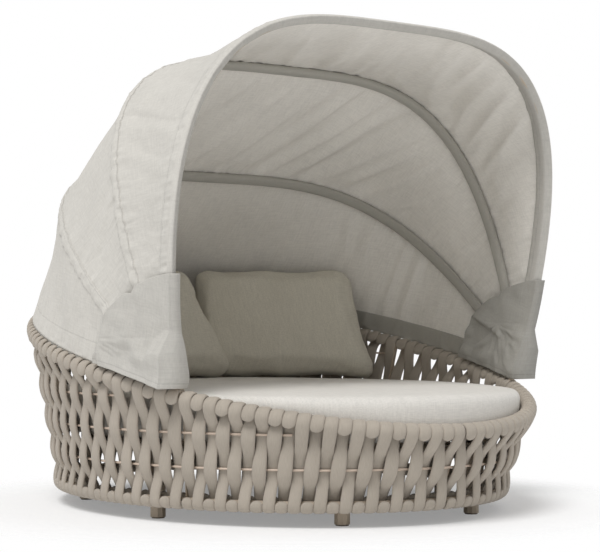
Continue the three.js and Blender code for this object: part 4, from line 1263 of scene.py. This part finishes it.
class DAYBED_OT_boots(bpy.types.Operator):
    """Closes the canopy over each pivot with a soft boot"""

    bl_idname = "daybed.boots"
    bl_label = "Pivot Boots"

    def execute(self, context):
        sizes = context.scene.daybed_canopy
        weave = context.scene.daybed_weave
        colours = context.scene.daybed_colours
        cloth = canopy_finish("boot_weave", colours.boot, BOOT_STITCHES)
        # The side of each boot that faces the seat takes a darker copy of the cloth: painted shade, where the
        # canopy keeps the light off.
        inside = canopy_finish("boot_painted_shade", colours.boot_painted_shade, BOOT_STITCHES)
        for name, side in (("right", 1), ("left", -1)):
            rows = [row * np.array([side, 1, 1]) for row in self.rows(sizes, weave, side)]
            last_outside = BOOT_COLUMNS - 1 if side > 0 else BOOT_COLUMNS
            piece = sheet_piece(f"boot_{name}", rows, cloth, sizes.thickness,
                                (inside, last_outside))
            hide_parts(f"pivot_boot_{name}")
            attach(piece, BASKET)
            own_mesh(piece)
        return {"FINISHED"}

    @staticmethod
    def rows(sizes, weave, seed):
        """An outer and an inner wall joined in front, from the rim up to between the bows."""
        middle = pivot_hub(sizes, weave)
        hub = Vector((middle[1], middle[2]))

        def place(lean, distance, ahead):
            return Vector((-math.sin(lean) * distance - math.cos(lean) * ahead,
                           math.cos(lean) * distance - math.sin(lean) * ahead)) + hub

        columns, levels, clear = BOOT_COLUMNS, BOOT_LEVELS, sizes.thickness + 0.0035
        front_top = place(sizes.front_lean, BOOT_REACH, sizes.nose + clear)
        rear_top = place(sizes.rear_lean, BOOT_REACH, -sizes.lift - clear)
        rear_foot = BOOT_FOOT
        front_foot = sizes.pivot_angle - BOOT_AHEAD / (weave.half_depth * math.sin(sizes.pivot_angle))
        wrap_top = weave.tube_radius + weave.strap_thickness + 0.003
        chord = (front_top - rear_top).normalized()
        over = Vector((-chord.y, chord.x)) * (1 if chord.x < 0 else -1)
        over = over if over.y > 0 else -over
        foot_back, foot_front = (
            Vector((rim.y, rim.z + wrap_top)) for rim in (
                wall_point(weave, where, rim_height(weave, where)) for where in (rear_foot, front_foot)))

        def spot_at(t, high):
            return foot_back.lerp(foot_front, t).lerp(rear_top.lerp(front_top, t), high)

        outside, within = spot_at(-0.06, 0.55), spot_at(0.55, 0.62)
        lap_from, lap_to = spot_at(0.0, 1.0), spot_at(0.66, 0.42)
        rows = []
        for r in range(levels + 1):
            outer, inner = [], []
            high = r / levels
            for c in range(columns + 1):
                t = c / columns
                where = rear_foot + (front_foot - rear_foot) * t
                rim = wall_point(weave, where, rim_height(weave, where))
                foot = Vector((rim.y, rim.z + wrap_top + 0.004))
                dip = 0.014 * math.exp(-((t - 0.44) / 0.05) ** 2)
                top = rear_top.lerp(front_top, t) + over * (0.030 * 4 * t * (1 - t) - dip)
                spot = foot.lerp(top, high)
                arm = spot - hub
                distance = arm.length
                behind = math.atan2(arm.x, arm.y) + sizes.front_lean
                turned = min(1.0, max(0.0, behind / (sizes.front_lean - sizes.rear_lean)))
                near = max(0.0, 1 - distance / (2 * sizes.lug_length))
                nest = 2 * sizes.nest_step * max(turned, min(1.0, 2 * near))
                side = sizes.lift + sizes.thickness + 0.0040 + 0.004 * (1 - high)
                pinch = 0.014 * (1 - high) * (1 - t) ** 2
                outer.append((bow_half_at(sizes, nest, distance) + side + 0.010 * near - pinch, spot.x, spot.y))
                inset = BOOT_INSET + BOOT_PIVOT_INSET * near
                inner.append((bow_half_at(sizes, 0, distance) - inset, spot.x, spot.y))
            row = np.array(outer + inner[::-1])
            way = np.where(np.arange(len(row)) <= columns, 1.0, -1.0)
            hold = min(1.0, 0.45 + 2.5 * high) * min(1.0, 0.15 + 6 * (1 - high))
            fold = np.where(way > 0, drawn_folds(row, outside, seed), drawn_folds(row, within, seed + 5))
            fold = fold + np.where(way > 0, 0.0, lap_over(row, lap_from, lap_to)) * min(1.0, 5 * (1 - high))
            soft = 0.35 * still_noise(row, 0.055, 41 + seed)
            calm = np.minimum(1, 0.2 + 4.5 * (1 - np.arange(columns + 1) / columns))
            hold = hold * np.concatenate([calm, calm[::-1]])
            row[:, 0] += sizes.boot_fold * np.maximum(fold + soft, -0.05 - 0.45 * (1 - high)) * hold * way
            rows.append(row)
        return rows


# Stage

CAMERA_LENS = 106.2
CAMERA_SPOT = Vector((-3.7535, -5.0323, 0.6444))
CAMERA_TURN = (math.radians(91.404), 0, math.radians(-37.42))
LAMP_WAY = Vector((-0.47, -0.26, 0.85))
WHITE_RAYS = ("Camera", "Glossy", "Transmission")
FLOOR_FADE = (0.90, 1.45)
FLOOR_GLOW = 0.27


class DAYBED_OT_stage(bpy.types.Operator):
    """Sets the floor, the soft light and the camera"""

    bl_idname = "daybed.stage"
    bl_label = "Stage"

    def execute(self, context):
        scene = context.scene
        colours = scene.daybed_colours
        deselect()
        bpy.ops.mesh.primitive_plane_add(size=60, location=(0, 0, -0.0005))
        floor = context.object
        floor.name = "floor"
        floor.data.materials.append(self.floor_finish(colours.floor))
        self.lights(scene, scene.daybed_stage)
        camera = bpy.data.cameras.new("camera")
        camera.sensor_width = 36
        camera.lens = CAMERA_LENS
        camera.clip_end = 100
        holder = bpy.data.objects.new("camera", camera)
        scene.collection.objects.link(holder)
        holder.location = CAMERA_SPOT + origin_shift()
        holder.rotation_euler = CAMERA_TURN
        scene.camera = holder
        scene.view_settings.view_transform = "Standard"
        return {"FINISHED"}

    @staticmethod
    def floor_finish(shade):
        """A pale floor that keeps the shadow and fades into the white backdrop away from the daybed."""
        floor = Finish("floor_white")
        grain = floor.noise((40, 40, 40), 2)
        spot = floor.node("ShaderNodeTexCoord", output=3)
        away = floor.node("ShaderNodeVectorMath", {"operation": "LENGTH"}, {0: spot}, output=1)
        gone = away.ramp(*FLOOR_FADE)
        camera = floor.node("ShaderNodeLightPath", output=0)
        floor.set(Base_Color=floor.tones(grain, shade, 1.0, 1.03), Roughness=0.9, Alpha=1 - camera * gone)
        floor.set(Specular_IOR_Level=0.0)
        glow = floor.node("ShaderNodeEmission", None, {"Color": (1, 1, 1), "Strength": 1.0})
        own = Value(floor, floor.shader.outputs[0])
        clear = floor.node("ShaderNodeBsdfTransparent")
        lit = floor.node("ShaderNodeMixShader", None, {0: gone, 1: glow, 2: clear})
        both = floor.node("ShaderNodeMixShader", None, {0: camera * FLOOR_GLOW, 1: own, 2: lit})
        floor.feed(floor.tree.nodes["Material Output"].inputs["Surface"], both)
        return floor.material

    @staticmethod
    def lights(scene, sizes):
        """An even white surround, and a soft lamp from the upper left that together light at about 1."""
        world = bpy.data.worlds.new("studio")
        scene.world = world
        world.use_nodes = True
        sky = Nodes(world.node_tree)
        even = sky.tree.nodes["Background"]
        sky.feed(even.inputs["Color"], (1, 1, 1))
        sky.feed(even.inputs["Strength"], sizes.surround)
        seen = sky.node("ShaderNodeBackground", None, {"Color": (1, 1, 1), "Strength": 1.0})
        path = sky.tree.nodes.new("ShaderNodeLightPath")
        camera, glossy, through = (Value(sky, path.outputs[f"Is {ray} Ray"]) for ray in WHITE_RAYS)
        shown = camera.most(glossy).most(through)
        both = sky.node("ShaderNodeMixShader", None, {0: shown, 1: Value(sky, even.outputs[0]), 2: seen})
        sky.feed(sky.tree.nodes["World Output"].inputs["Surface"], both)
        way = LAMP_WAY.normalized()
        lamp = bpy.data.lights.new("lamp", "SUN")
        lamp.angle = sizes.lamp_softness
        lamp.energy = (1 - sizes.surround) * math.pi / way.z
        holder = bpy.data.objects.new("lamp", lamp)
        scene.collection.objects.link(holder)
        holder.location = way * 5
        holder.rotation_euler = way.to_track_quat("Z", "Y").to_euler()


class DAYBED_PT_panel(bpy.types.Panel):
    """Lists the daybed's pieces in the sidebar"""

    bl_idname = "DAYBED_PT_panel"
    bl_label = "Canopy Daybed"
    bl_space_type = "VIEW_3D"
    bl_region_type = "UI"
    bl_category = "Daybed"

    def draw(self, context):
        for operator in OPERATORS:
            self.layout.operator(operator.bl_idname)
        for place in GROUPS:
            group = getattr(context.scene, place)
            box = self.layout.box()
            for name in group.bl_rna.properties.keys():
                if name not in ("rna_type", "name"):
                    box.prop(group, name)


GROUPS = {
    "daybed_weave": WeaveSizes,
    "daybed_canopy": CanopySizes,
    "daybed_cushions": CushionSizes,
    "daybed_stage": StageSizes,
    "daybed_colours": Colours,
}
OPERATORS = (
    DAYBED_OT_frame,
    DAYBED_OT_straps,
    DAYBED_OT_seat,
    DAYBED_OT_pillows,
    DAYBED_OT_canopy,
    DAYBED_OT_sleeves,
    DAYBED_OT_boots,
    DAYBED_OT_stage,
)


def register():
    for name, group in GROUPS.items():
        bpy.utils.register_class(group)
        setattr(bpy.types.Scene, name, bpy.props.PointerProperty(type=group))
    for operator in OPERATORS:
        bpy.utils.register_class(operator)
    bpy.utils.register_class(DAYBED_PT_panel)


def unregister():
    bpy.utils.unregister_class(DAYBED_PT_panel)
    for operator in reversed(OPERATORS):
        bpy.utils.unregister_class(operator)
    for name, group in GROUPS.items():
        delattr(bpy.types.Scene, name)
        bpy.utils.unregister_class(group)


def main():
    """Builds the daybed piece by piece."""
    register()
    bpy.ops.daybed.frame()
    bpy.ops.daybed.straps()
    bpy.ops.daybed.seat()
    bpy.ops.daybed.pillows()
    bpy.ops.daybed.canopy()
    bpy.ops.daybed.sleeves()
    bpy.ops.daybed.boots()
    bpy.ops.daybed.stage()


if __name__ == "__main__":
    main()
